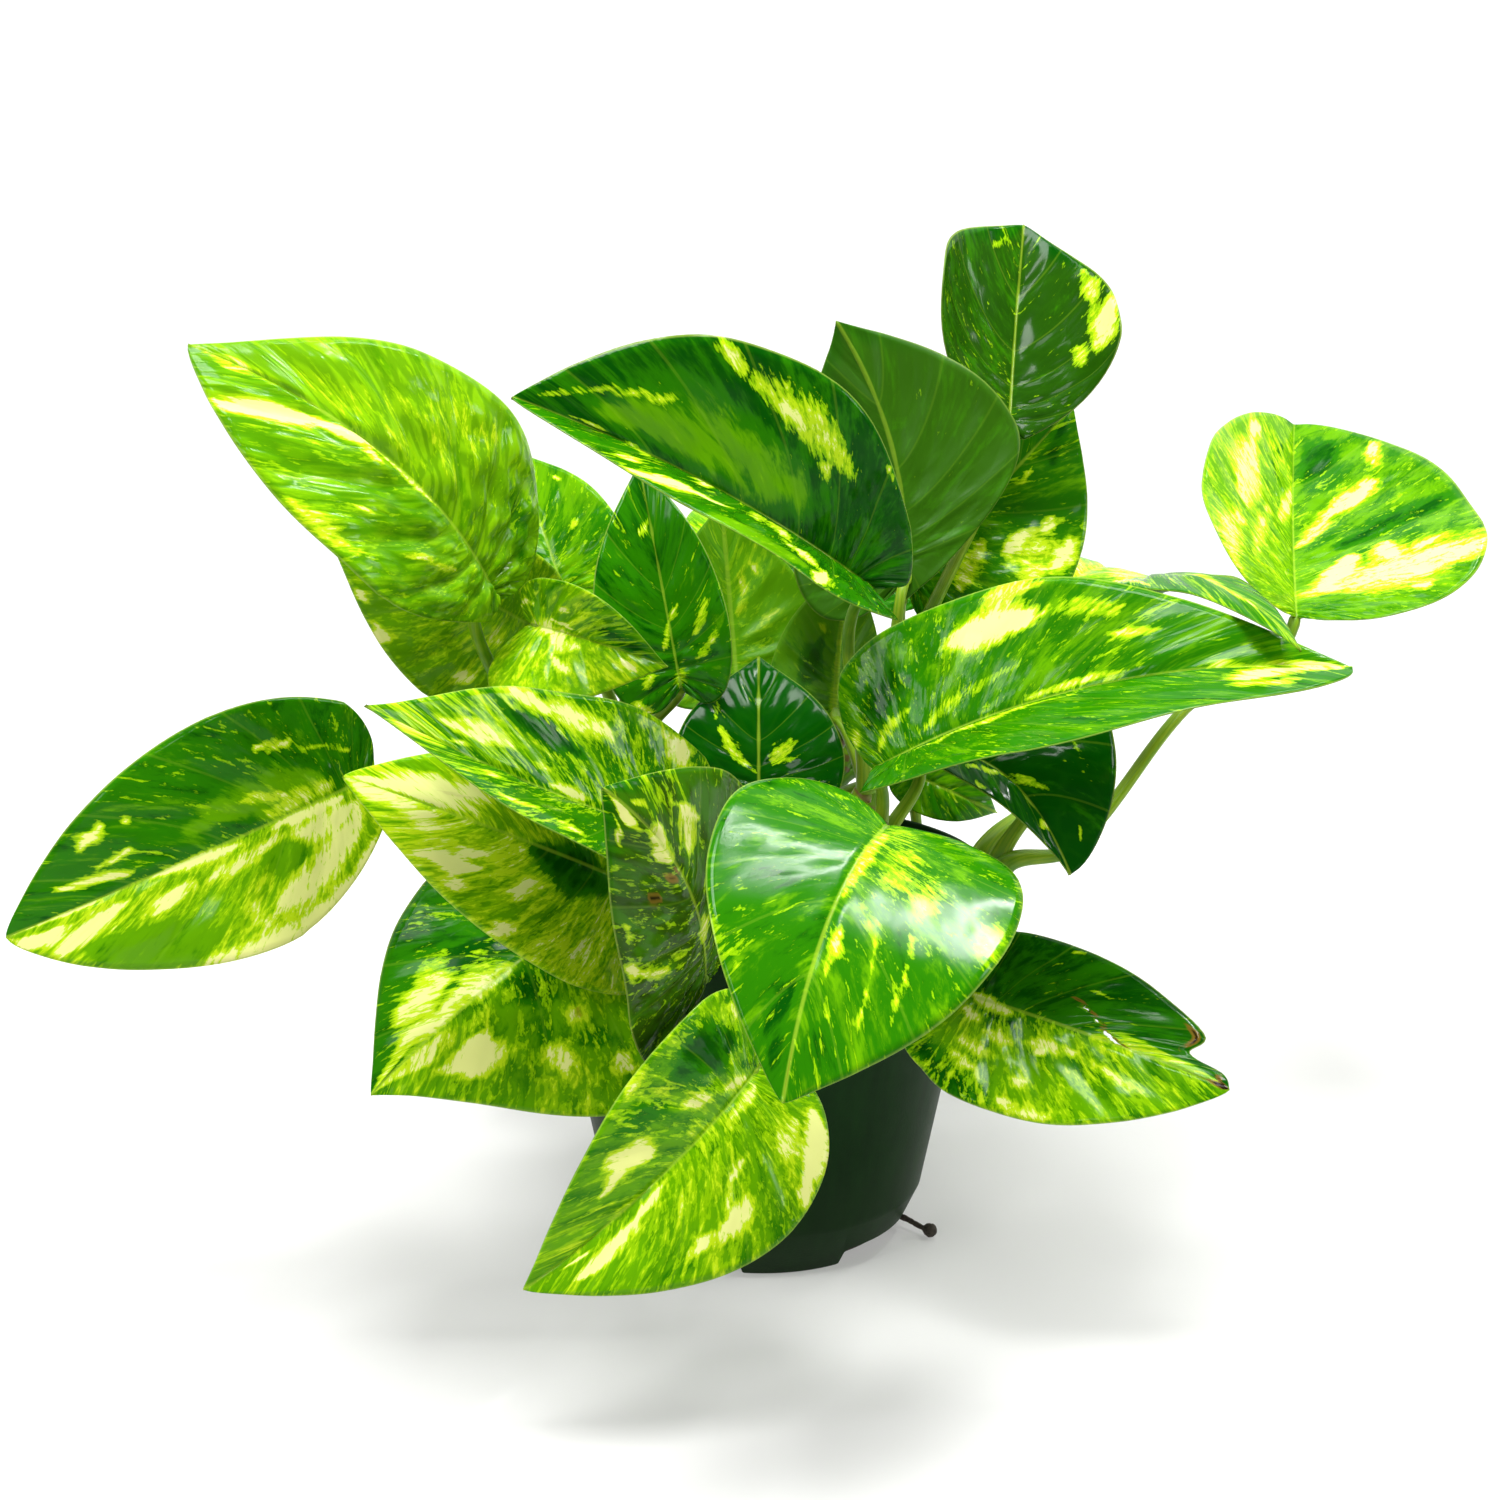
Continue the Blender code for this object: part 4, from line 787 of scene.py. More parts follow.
def blade_axes(spec):
    """Unit vectors along the chord, up from the face and to the leaf's left, and its length."""
    along = spec["tip"] - spec["base"]
    length = along.length
    along.normalize()
    face = Vector(spec["face"]) if spec["face"] else EYE - (spec["tip"] + spec["base"]) / 2.0
    up = (face - along * face.dot(along)).normalized()
    up = up * cos(spec["roll"]) + up.cross(along) * sin(spec["roll"])
    return along, up, up.cross(along), length


def blade_sheet(spec):
    """The blade's middle surface as a grid of points, rays by steps from the right margin to the
    left one, with each point's ray, its signed share of the way out and its distance out."""
    along, up, side, length = blade_axes(spec)
    along, up, side = (np.array(v) for v in (along, up, side))
    bow = up * spec["arch"] + side * spec["sway"]
    rays = np.linspace(0.0, 1.0, ROWS + 1)
    steps = np.linspace(0.0, 1.0, STEPS + 1) ** STEP_CROWDING
    sheets = []
    for part, sign in ((spec["halves"][1], -1.0), (spec["halves"][0], 1.0)):
        edge_x, edge_y, vein = edge_curve(part, rays)
        x = vein[:, None] + (edge_x - vein)[:, None] * steps ** VEIN_BEND
        y = edge_y[:, None] * steps
        hill = 4.0 * x * (1.0 - x)
        middle = np.array(spec["base"]) + (along * x[..., None] + bow * hill[..., None]) * length
        rise = up - along * (4.0 * spec["arch"] * (1.0 - 2.0 * x))[..., None]
        rise /= np.linalg.norm(rise, axis=-1, keepdims=True)
        end = part["fold"] + part["curl"] * y
        across = part["width"] * (np.sin(end) - sin(part["fold"])) / part["curl"]
        lift = part["width"] * (cos(part["fold"]) - np.cos(end)) / part["curl"]
        lift += part["wave"] * length * y * y * np.sin(tau * (EDGE_WAVES * x + 0.25 * sign))
        points = middle + side * (across * sign)[..., None] + rise * lift[..., None]
        sheets.append((points, sign * np.broadcast_to(steps, y.shape), sign * y * part["width"]))
    points, out, reach = (np.concatenate((right[:, :0:-1], left), axis=1)
                          for right, left in zip(*sheets))
    return points, np.broadcast_to(rays[:, None], out.shape), out, reach


def sheet_normals(points):
    """Unit normals of a grid of points. The pointed ends take those of the next row."""
    normals = np.cross(np.gradient(points, axis=1), np.gradient(points, axis=0))
    normals[0], normals[-1] = normals[1], normals[-2]
    return -normals / np.maximum(np.linalg.norm(normals, axis=-1, keepdims=True), 1e-12)


# Side veins on each half, and how much closer they stand near the stalk.
SIDE_VEINS = 9
VEIN_CROWDING = 0.3
# The swelling between them, how deep and wide a side vein is sunk into it, and the cross veins and
# ripples over it, with heights as its shares and turns in radians a metre outwards or a midrib.
QUILT_HEIGHT = 0.00032
VEIN_DEPTH, VEIN_WIDTH = 1.6, 0.16
CROSS_HEIGHT, CROSS_TURNS, CROSS_SHIFT = 0.45, 760.0, 2.4
RIPPLE_HEIGHT, RIPPLE_TURNS, RIPPLE_TURNS_ALONG = 0.5, 420.0, 47.0
# How steeply it all rises from the midrib, the margin and both ends.
RISE_AT_RIB, RISE_AT_MARGIN, RISE_AT_ENDS = 6.0, 5.0, 9.0


def vein_count(rays):
    """Side veins counted from the stalk. They stand closer together near it."""
    return rays * SIDE_VEINS * (1.0 + VEIN_CROWDING * (1.0 - rays))


def quilting(rays, out, reach, seed):
    """Height of the tissue as a share: sunken at the side veins, swollen between them, and flat at
    the midrib, the margin and both ends."""
    count = vein_count(rays)
    vein = np.round(count)
    swell = 1.0 - VEIN_DEPTH * np.exp(-((count - vein) / VEIN_WIDTH) ** 2)
    cross = CROSS_HEIGHT * np.sin(np.abs(reach) * CROSS_TURNS + vein * CROSS_SHIFT + seed)
    ripple = (RIPPLE_HEIGHT * np.sin(rays * RIPPLE_TURNS_ALONG + seed)
              * np.sin(np.abs(reach) * RIPPLE_TURNS + seed * 2.0))
    out = np.abs(out)
    fade = (np.clip(out * RISE_AT_RIB, 0.0, 1.0)
            * np.clip((1.0 - out) * RISE_AT_MARGIN, 0.0, 1.0))
    ends = (np.clip(rays * RISE_AT_ENDS, 0.0, 1.0)
            * np.clip((1.0 - rays) * RISE_AT_ENDS, 0.0, 1.0))
    return (swell + cross * np.clip(swell, 0.0, 1.0) + ripple) * fade * ends


# Side veins run slanted, so a ray's place counts for more than its share of the midrib.
VEIN_SLANT = 1.35
# A stroke's width at its ends as a share, and how its strength is full inside and fades outwards.
STROKE_END = 0.45
STROKE_CORE = 1.35
STROKE_FADE = 0.95
# How sharply the colours of the two halves part at the midrib, and how far marks that take away go
# under nothing.
HALF_PARTING = 25.0
TAKEN_UNDER = 0.3
# How far apart the patterns of two blades are taken.
BLADE_SHIFT = 37.0


def mark_field(spec, kind, rays, out):
    """How strongly the marks of one kind cover each point, from 0 to 1."""
    field = np.zeros(rays.shape)
    length = (spec["tip"] - spec["base"]).length
    scale = np.array((VEIN_SLANT * length / spec["halves"][0]["width"], 1.0))
    place = np.stack((rays, out), axis=-1) * scale
    for ray, start, to_ray, end, width, strength in COLOURING[spec["name"]]["marks"].get(kind, []):
        start = np.array((ray, start)) * scale
        way = np.array((to_ray, end)) * scale - start
        share = np.clip((place - start) @ way / max(way @ way, 1e-9), 0.0, 1.0)
        away = np.linalg.norm(place - start - share[..., None] * way, axis=-1)
        wide = width * (STROKE_END + (1.0 - STROKE_END) * np.sin(pi * share))
        cover = np.clip(STROKE_CORE - STROKE_FADE * away / wide, 0.0, 1.0)
        field = np.maximum(field, cover * strength)
    return field


def skin_values(spec, rays, out, reach, seed):
    """What the leaf's skin reads at each point: amounts of each tissue and its place."""
    left = 1.0 / (1.0 + np.exp(-out * HALF_PARTING))
    values = {"out": np.abs(out), "veins": vein_count(rays),
              "quilt": np.full(rays.shape, COLOURING[spec["name"]]["quilt"]),
              "brown": mark_field(spec, "brown_marks", rays, out)}
    for kind, less in (("pale", "green"), ("dark", "bright")):
        on_left, on_right = COLOURING[spec["name"]][kind]
        amount = on_right + (on_left - on_right) * left
        amount += (1.0 - amount) * mark_field(spec, kind + "_marks", rays, out)
        taken = mark_field(spec, less + "_marks", rays, out)
        values[kind] = amount - (amount + TAKEN_UNDER) * taken
    length = (spec["tip"] - spec["base"]).length
    seeds = np.full(rays.shape, seed * BLADE_SHIFT)
    values["place"] = np.stack((rays * length * VEIN_SLANT * 1000.0, reach * 1000.0, seeds),
                               axis=-1)
    return values


def blade_faces():
    """Faces over the top and the underside of a grid of rays and steps, and round its margin."""
    columns = 2 * STEPS + 1
    below = (ROWS + 1) * columns
    tip = ROWS * columns
    faces = [(k, k + 1, below + k + 1, below + k) for k in range(columns - 1)]
    faces += [(k + 1, k, below + k, below + k + 1) for k in range(tip, tip + columns - 1)]
    for row in range(ROWS):
        start = row * columns
        for here in range(start, start + columns - 1):
            faces.append((here, here + columns, here + columns + 1, here + 1))
            faces.append(tuple(below + k for k in reversed(faces[-1])))
        last = start + columns - 1
        faces.append((start, start + below, start + columns + below, start + columns))
        faces.append((last + columns, last + columns + below, last + below, last))
    return faces


def give(piece, label, grid):
    """Stores a number or a vector at each point of a piece, for its skin to read."""
    kind, field = ("FLOAT", "value") if grid.ndim == 1 else ("FLOAT_VECTOR", "vector")
    layer = piece.data.attributes.new(label, kind, "POINT")
    layer.data.foreach_set(field, grid.astype(np.float32).ravel())


def build_blade(spec, finish, seed):
    """One blade as a closed body with a ribbed underside, and the values that its skin reads."""
    points, rays, out, reach = blade_sheet(spec)
    swell = quilting(rays, out, reach, seed) * QUILT_HEIGHT * COLOURING[spec["name"]]["quilt"]
    points = points + sheet_normals(points) * swell[..., None]
    normals = sheet_normals(points)
    groove = GROOVE_DEPTH * np.exp(-(reach / GROOVE_WIDTH) ** 2) * (1.0 - rays) ** 0.5
    rib = RIB_HEIGHT * np.exp(-(reach / RIB_WIDTH) ** 2) * (1.0 - RIB_TAPER * rays)
    thin = BLADE_THICKNESS + (MARGIN_THICKNESS - BLADE_THICKNESS) * np.abs(out) ** 3
    top = points + normals * (thin / 2.0 - groove)[..., None]
    under = points - normals * (thin / 2.0 + rib)[..., None]
    verts = np.concatenate((top.reshape(-1, 3), under.reshape(-1, 3)))
    made = new_piece(spec["name"].replace("leaf_", "blade_"), verts, blade_faces(), finish)
    for label, grid in skin_values(spec, rays, out, reach, seed).items():
        give(made, label, np.concatenate([grid.reshape(rays.size, *grid.shape[2:])] * 2))
    give(made, "under", np.repeat((0.0, 1.0), rays.size))
    weld(made)
    return made


NO_LENGTH = 1e-7


def weld(piece):
    """Merges neighbours that fall together at a blade's ends, and turns its faces outward."""
    work = bmesh.new()
    work.from_mesh(piece.data)
    short = [edge for edge in work.edges if edge.calc_length() < NO_LENGTH]
    bmesh.ops.collapse(work, edges=short)
    bmesh.ops.recalc_face_normals(work, faces=work.faces[:])
    if work.calc_volume(signed=True) < 0.0:
        bmesh.ops.reverse_faces(work, faces=work.faces[:])
    work.to_mesh(piece.data)
    work.free()
    piece.data.shade_smooth()


# Sides of a tube, half the angle of its channel, and the radius in millimetres that its skin is
# mapped with. Its upper side starts near upright, and is drawn upright again at each ring.
TUBE_SIDES = 14
CHANNEL_ANGLE = 0.8
SKIN_RADIUS = 1.6
FIRST_UPPER_SIDE = Vector((0.3, -0.2, 1.0))
UPRIGHT_PULL = 0.15


def channelled_tube(points, radii, channel):
    """Points and faces of a closed tube, with a channel along its upper side of a share of its
    radius, and each point's place along it and round it."""
    verts, faces, places = [], [], []
    upright = Vector((0.0, 0.0, 1.0))
    normal = FIRST_UPPER_SIDE.normalized()
    distance = 0.0
    for index, (point, radius) in enumerate(zip(points, radii)):
        if index:
            distance += (point - points[index - 1]).length
        ahead = (points[min(index + 1, len(points) - 1)] - points[max(index - 1, 0)]).normalized()
        normal += upright * UPRIGHT_PULL
        normal = (normal - ahead * normal.dot(ahead)).normalized()
        across = ahead.cross(normal)
        for side in range(TUBE_SIDES):
            angle = tau * side / TUBE_SIDES
            away = min(angle, tau - angle)
            dent = 1.0 - channel[index] * max(0.0, 1.0 - (away / CHANNEL_ANGLE) ** 2)
            verts.append(point + (normal * cos(angle) + across * sin(angle)) * radius * dent)
            places.append((away * SKIN_RADIUS, distance * 1000.0, away))
    for ring in range(len(points) - 1):
        for side in range(TUBE_SIDES):
            here, there = ring * TUBE_SIDES + side, ring * TUBE_SIDES + (side + 1) % TUBE_SIDES
            faces.append((here, there, there + TUBE_SIDES, here + TUBE_SIDES))
    faces.append(tuple(reversed(range(TUBE_SIDES))))
    faces.append(tuple(len(verts) - TUBE_SIDES + side for side in range(TUBE_SIDES)))
    return verts, faces, places


# Slits through a blade, each as from ray, out, to ray, out.
TEARS = {
    "leaf_right_low": [(0.62, 0.44, 0.72, 0.33), (0.74, 0.28, 0.83, 0.06)],
}
TEAR_WIDTH = 0.0007
TEAR_END = 0.25
TEAR_POINTS = 15
# A slit's point lies between this many of the sheet's, and a nearer one counts for more.
NEAR_POINTS = 4
LEAST_APART = 1e-4


def tear(blade, spec, slits):
    """Opens slits through a blade. Each narrows to a quarter of its width at both ends."""
    points, rays, out, _ = blade_sheet(spec)
    shares = np.linspace(0.0, 1.0, TEAR_POINTS)
    for ray, start, to_ray, end in slits:
        line = []
        for share in shares:
            apart = np.hypot(rays - ray - (to_ray - ray) * share,
                             out - start - (end - start) * share)
            nearest = np.argsort(apart, axis=None)[:NEAR_POINTS]
            weights = 1.0 / (apart.flat[nearest] + LEAST_APART) ** 2
            spots = points.reshape(-1, 3)[nearest]
            line.append(Vector((spots * weights[:, None]).sum(0) / weights.sum()))
        widths = [TEAR_WIDTH * (TEAR_END + (1.0 - TEAR_END) * sin(pi * share)) for share in shares]
        verts, faces, _ = channelled_tube(line, widths, [0.0] * TEAR_POINTS)
        carve(blade, new_piece("knife", verts, faces, None))


def layered(tree, shader, base, layers):
    """Colours a shader from a base with layers over it, each as what is read, where it starts and
    is full, its colour and how much it covers. It gives back the last colour's socket."""
    colour = linear(base)
    for amount, start, full, hex_colour, most in layers:
        share = add_node(tree, "ShaderNodeMapRange",
                         {"Value": amount, "From Min": start, "From Max": full, "To Max": most},
                         interpolation_type="SMOOTHSTEP")
        colour = add_node(tree, "ShaderNodeMix",
                          {0: share.outputs[0], 6: colour, 7: linear(hex_colour)},
                          data_type="RGBA").outputs[2]
    tree.links.new(colour, shader.inputs["Base Color"])
    return colour


# Living leaf under a thin cuticle of wax. The wax gives a clear satin gloss, and light from behind
# glows through the blade. Deep green, bright green, lime and cream run in streaks along the veins.
# The underside has less wax, and is duller and more olive.
leaf_skin, tree, shader = new_finish("waxy_living_leaf", "4B9A14", 0.3, ior=1.45)
shader.inputs["Specular IOR Level"].default_value = 0.14
given = {label: add_node(tree, "ShaderNodeAttribute", attribute_name=label).outputs["Fac"]
         for label in ("pale", "dark", "brown", "veins", "out", "under", "quilt")}
place = add_node(tree, "ShaderNodeAttribute", attribute_name="place").outputs["Vector"]

# Cell sizes in millimetres along the midrib and out along the side veins, detail, and how far the
# cells are bent.
PATTERNS = {
    "sectors": (6.0, 20.0, 2.0, 0.4),
    "clouds": (5.0, 11.0, 4.0, 0.8),
    "streaks": (1.7, 5.5, 5.0, 1.0),
    "flecks": (0.8, 1.4, 3.0, 0.6),
}
PATTERN_SHIFT = 5.0
patterns = {}
for count, (label, (along, outwards, detail, bent)) in enumerate(PATTERNS.items()):
    stretched = add_node(tree, "ShaderNodeMapping",
                         {"Vector": place, "Location": (0.0, 0.0, count * PATTERN_SHIFT),
                          "Scale": (1.0 / along, 1.0 / outwards, 1.0)})
    patterns[label] = add_node(tree, "ShaderNodeTexNoise",
                               {"Vector": stretched.outputs[0], "Scale": 1.0, "Detail": detail,
                                "Roughness": 0.62, "Distortion": bent}).outputs[0]

# How far each pattern moves the amount of pale or dark tissue either way.
SWINGS = {
    "pale": {"streaks": 1.25, "sectors": 0.5, "flecks": 0.65},
    "dark": {"clouds": 1.3, "streaks": 0.6, "flecks": 0.3},
}
for kind, weights in SWINGS.items():
    for label, weight in weights.items():
        swing = add_node(tree, "ShaderNodeMath", {0: patterns[label], 1: weight, 2: -0.5 * weight},
                         operation="MULTIPLY_ADD")
        given[kind] = add_node(tree, "ShaderNodeMath", {0: given[kind], 1: swing.outputs[0]},
                               operation="ADD").outputs[0]

to_vein = add_node(tree, "ShaderNodeMath", {0: given["veins"], 1: 0.5}, operation="PINGPONG")
reach = add_node(tree, "ShaderNodeSeparateXYZ", {0: place})
to_rib = add_node(tree, "ShaderNodeMath", {0: reach.outputs["Y"]}, operation="ABSOLUTE")

# The net of small veins leaves shallow cells about 3 mm by 7 mm, with creases between. The creases
# are sunk in the relief and darkened with painted shade.
netted = add_node(tree, "ShaderNodeMapping", {"Vector": place, "Scale": (0.36, 0.15, 1.0)})
cells = add_node(tree, "ShaderNodeTexVoronoi", {"Vector": netted.outputs[0], "Scale": 1.0},
                 feature="DISTANCE_TO_EDGE")
sunk = add_node(tree, "ShaderNodeMapRange",
                {"Value": cells.outputs[0], "From Max": 0.30, "To Min": 1.0, "To Max": 0.0},
                interpolation_type="SMOOTHSTEP")
creases_and_painted_shade = add_node(tree, "ShaderNodeMath", {0: sunk.outputs[0], 1: given["quilt"]},
                   operation="MULTIPLY")

# Tissue colours and the painted shade in the creases, laid one over the other on bright green.
colour = layered(tree, shader, "68AC04", [
    # A lighter lime where deep green is least. On leaf_top_left it is painted light, lightening the
    # blade for the light and sheen on it.
    (given["dark"], 0.14, -0.12, "8CC80C", 1.0),
    (given["dark"], 0.28, 0.60, "2A7C02", 1.0),
    (given["dark"], 0.68, 1.00, "075203", 1.0),
    # Painted shade: darker green along the creases between the cells, deeper on more quilted
    # blades.
    (creases_and_painted_shade.outputs[0], 0.5, 2.2, "2F7A04", 0.45),
    (to_vein.outputs[0], 0.03, 0.01, "9CCB30", 0.14),
    (given["pale"], 0.26, 0.37, "92CA08", 1.0),
    (given["pale"], 0.42, 0.52, "CBEA1C", 1.0),
    (given["pale"], 0.62, 0.74, "FAFCA0", 1.0),
    (to_rib.outputs[0], 0.6, 0.15, "B9DC3A", 0.45),
    (given["out"], 0.985, 0.998, "BBD65A", 0.4),
    (given["brown"], 0.35, 0.60, "8A6A24", 0.85),
    (given["brown"], 0.65, 0.90, "241509", 1.0),
    (given["under"], 0.0, 1.0, "3F7406", 0.45),
])

# The wax is a little uneven and thinner underneath. The relief is streaks and creases of 0.25 mm.
waxy = add_node(tree, "ShaderNodeMapRange",
                {"Value": patterns["flecks"], "To Min": 0.10, "To Max": 0.17})
dull = add_node(tree, "ShaderNodeMath", {0: given["under"], 1: 0.25, 2: waxy.outputs[0]},
                operation="MULTIPLY_ADD")
tree.links.new(dull.outputs[0], shader.inputs["Roughness"])

relief = add_node(tree, "ShaderNodeMath", {0: patterns["streaks"], 1: -0.1, 2: creases_and_painted_shade.outputs[0]},
                  operation="MULTIPLY_ADD")
bump = add_node(tree, "ShaderNodeBump", {"Height": relief.outputs[0], "Strength": 0.14,
                                         "Distance": 0.00025}, invert=True)
tree.links.new(bump.outputs[0], shader.inputs["Normal"])
glow = add_node(tree, "ShaderNodeBsdfTranslucent", {"Color": colour})
thin_sheet = add_node(tree, "ShaderNodeMixShader",
                      {0: 0.25, 1: shader.outputs[0], 2: glow.outputs[0]})
tree.links.new(thin_sheet.outputs[0], tree.nodes["Material Output"].inputs["Surface"])

for seed, spec in enumerate(LEAVES):
    blade = build_blade(spec, leaf_skin, seed)
    if spec["name"] in TEARS:
        tear(blade, spec, TEARS[spec["name"]])
    stand_for(blade, spec["name"])


# Cuttings. Each is a length of green vine that was stuck in the mix to root, with a leaf stalk from
# every joint. A stalk is channelled along its top, sheaths the stem at its foot, and swells at a
# small knee where it bends into the blade's midrib.
STEM_RADIUS = 0.0027
STEM_DEPTH = 0.030
STEM_COLLAR = 2.5 * MIX_DOME
STALK_ROOT_RADIUS = 0.0019
STALK_TIP_RADIUS = 0.0013
STEM_STEPS, STALK_STEPS, KNEE_STEPS = 24, 36, 6
# Where a stalk's knee and its end lie from the start of the midrib: under the face and along it.
KNEE_UNDER, KNEE_ALONG = 0.0022, -0.0004
END_UNDER, END_ALONG = 0.0007, 0.0030
# A stem's width between joints, its taper and its closed top, as shares of its radius.
STEM_BETWEEN, STEM_TAPER, STEM_TOP = 0.92, 0.10, 0.7
# A stem's joint: how far below its stalk and how long, as shares of the stem, and its swelling.
JOINT_BELOW, JOINT_LENGTH, JOINT_SWELL = 0.03, 0.05, 0.16
# A stalk's sheath and knee: how much wider they are, and where they lie as shares of its length.
SHEATH_WIDER, SHEATH_END, SHEATH_FLARE = 0.0007, 0.22, 1.5
KNEE_WIDER, KNEE_PLACE, KNEE_LENGTH = 0.00025, 0.90, 0.07
# How fast a stalk thins, and how much it narrows in the midrib, over the last share of its length.
STALK_TAPER = 1.3
TIP_NARROWS, TIP_START, TIP_LENGTH = 0.55, 0.95, 0.05
# How deep its channel is, and the shares of its length over which the channel opens and closes.
CHANNEL_DEPTH, CHANNEL_OPENS, CHANNEL_CLOSES = 0.30, 0.1, 0.15


def vine(name, foot, top, *stalks):
    """One cutting: a stem that stands upright in the mix at foot and ends at top."""
    return dict(name=name, foot=foot, top=Vector(top), stalks=stalks)


def stalk(leaf_name, height, *via, bend=70):
    """The stalk of one blade. It leaves the stem at a share of its free height, passes the via
    points, and meets the blade from below at bend degrees to the midrib."""
    return dict(leaf=leaf_name, height=height, via=[Vector(v) for v in via], bend=radians(bend))


VINES = [
    vine("vine_left_front", (-0.026, -0.024), (-0.040, -0.030, 0.106),
         stalk("leaf_far_left", 0.9), stalk("leaf_left_low", 0.6),
         stalk("leaf_left_bottom", 0.4, bend=40)),
    vine("vine_left", (-0.034, 0.002), (-0.046, -0.012, 0.126),
         stalk("leaf_top_left", 1.0, (-0.060, -0.024, 0.142)), stalk("leaf_left_under", 0.9),
         stalk("leaf_left_small", 0.8), stalk("leaf_inner_dark", 0.6, (-0.028, 0.005, 0.122))),
    vine("vine_front", (0.000, -0.038), (0.002, -0.046, 0.098),
         stalk("leaf_front_narrow", 0.8, (-0.010, -0.057, 0.100)),
         stalk("leaf_front_bottom", 0.9, (0.002, -0.061, 0.096)),
         stalk("leaf_left_high", 1.0)),
    vine("vine_middle", (0.004, -0.010), (0.024, -0.012, 0.112),
         stalk("leaf_top_middle", 1.0), stalk("leaf_middle_dark", 0.3)),
    vine("vine_crown", (0.022, -0.004), (0.030, -0.002, 0.126),
         stalk("leaf_turned", 0.9), stalk("leaf_crown", 1.0), stalk("leaf_inner_stripe", 0.5)),
    vine("vine_right_front", (0.028, -0.026), (0.026, -0.034, 0.108),
         stalk("leaf_right_long", 0.9), stalk("leaf_dark_right", 0.8),
         stalk("leaf_front_heart", 1.0, (0.027, -0.064, 0.110)),
         stalk("leaf_right_low", 0.6, (0.034, -0.048, 0.098), bend=40)),
    vine("vine_right", (0.040, 0.004), (0.056, -0.014, 0.094),
         stalk("leaf_far_right", 1.0, (0.072, -0.012, 0.098), (0.100, 0.006, 0.127)),
         stalk("leaf_right_edge", 0.9, (0.066, -0.008, 0.112)),
         stalk("leaf_right_back", 0.7, (0.068, 0.014, 0.104), (0.076, 0.056, 0.120))),
    vine("vine_inner", (0.012, 0.016), (0.018, 0.022, 0.116),
         stalk("leaf_behind_crown", 1.0, (0.032, 0.030, 0.134)), stalk("leaf_inner_olive", 0.7),
         stalk("leaf_right_olive", 0.4)),
    vine("vine_back", (0.016, 0.038), (0.022, 0.046, 0.110),
         stalk("leaf_back_high", 0.8), stalk("leaf_back_middle", 1.0),
         stalk("leaf_back_right", 0.7),
         stalk("leaf_low_right", 0.5, (0.036, 0.054, 0.098), bend=60),
         stalk("leaf_low_back", 0.4, (0.006, 0.062, 0.098), bend=60)),
    vine("vine_back_left", (-0.022, 0.030), (-0.034, 0.034, 0.110),
         stalk("leaf_left_behind", 1.0), stalk("leaf_back_left", 0.8),
         stalk("leaf_low_left", 0.4, bend=45)),
]


def spline(points, first, final, steps):
    """A smooth path through points that leaves along first and arrives along final."""
    path = []
    for index, (start, end) in enumerate(zip(points, points[1:])):
        reach = (end - start).length
        out = (end - points[index - 1]).normalized() if index else first
        more = index + 2 < len(points)
        into = (points[index + 2] - start).normalized() if more else final
        for step in range(steps):
            t = step / steps
            path.append(start * (2 * t ** 3 - 3 * t ** 2 + 1) + end * (3 * t ** 2 - 2 * t ** 3)
                        + out * reach * (t ** 3 - 2 * t ** 2 + t)
                        + into * reach * (t ** 3 - t ** 2))
    return path + [points[-1]]


def stem_path(spec):
    """The line of a stem: upright in the mix and up to its collar, then leaning to its top."""
    foot = Vector((*spec["foot"], MIX_HEIGHT - STEM_DEPTH))
    collar = Vector((*spec["foot"], MIX_HEIGHT + STEM_COLLAR))
    lean = (spec["top"] - collar).normalized()
    return [foot] + spline([collar, spec["top"]], Vector((0.0, 0.0, 1.0)), lean, STEM_STEPS)


def stalk_path(spec, stem):
    """The line of a leaf stalk from inside the stem into the underside of the blade's midrib."""
    blade = next(item for item in LEAVES if item["name"] == spec["leaf"])
    along, up, side, _ = blade_axes(blade)
    rib = (along + (up * blade["arch"] + side * blade["sway"]) * 4.0).normalized()
    face = (up - along * 4.0 * blade["arch"]).normalized()
    free = stem[1:]
    place = spec["height"] * (len(free) - 1)
    index = min(int(place), len(free) - 2)
    start = free[index].lerp(free[index + 1], place - index)
    final = rib * cos(spec["bend"]) + face * sin(spec["bend"])
    knee = blade["base"] - face * KNEE_UNDER + rib * KNEE_ALONG
    end = blade["base"] - face * END_UNDER + rib * END_ALONG
    toward = ((spec["via"] + [knee])[0] - start).normalized()
    first = (toward + Vector((0.0, 0.0, 1.0))).normalized()
    steps = STALK_STEPS // 2 if spec["via"] else STALK_STEPS
    path = spline([start] + spec["via"] + [knee], first, final, steps)
    return path + spline([knee, end], final, rib, KNEE_STEPS)[1:]


def stem_shape(spec):
    """The stem with a ringed joint under each stalk, and how joint-like each ring of points is."""
    points = stem_path(spec)
    count = len(points) - 1
    heights = [item["height"] for item in spec["stalks"]]
    radii, scars = [], []
    for index in range(count + 1):
        share = (index - 1) / (count - 1)
        nearest = min(abs(share - height + JOINT_BELOW) for height in heights)
        joint = max(0.0, 1.0 - (nearest / JOINT_LENGTH) ** 2)
        radii.append(STEM_RADIUS * (STEM_BETWEEN + JOINT_SWELL * joint
                                    - STEM_TAPER * max(0.0, share)))
        scars.append(joint)
    radii[-1] *= STEM_TOP
    return points, radii, scars


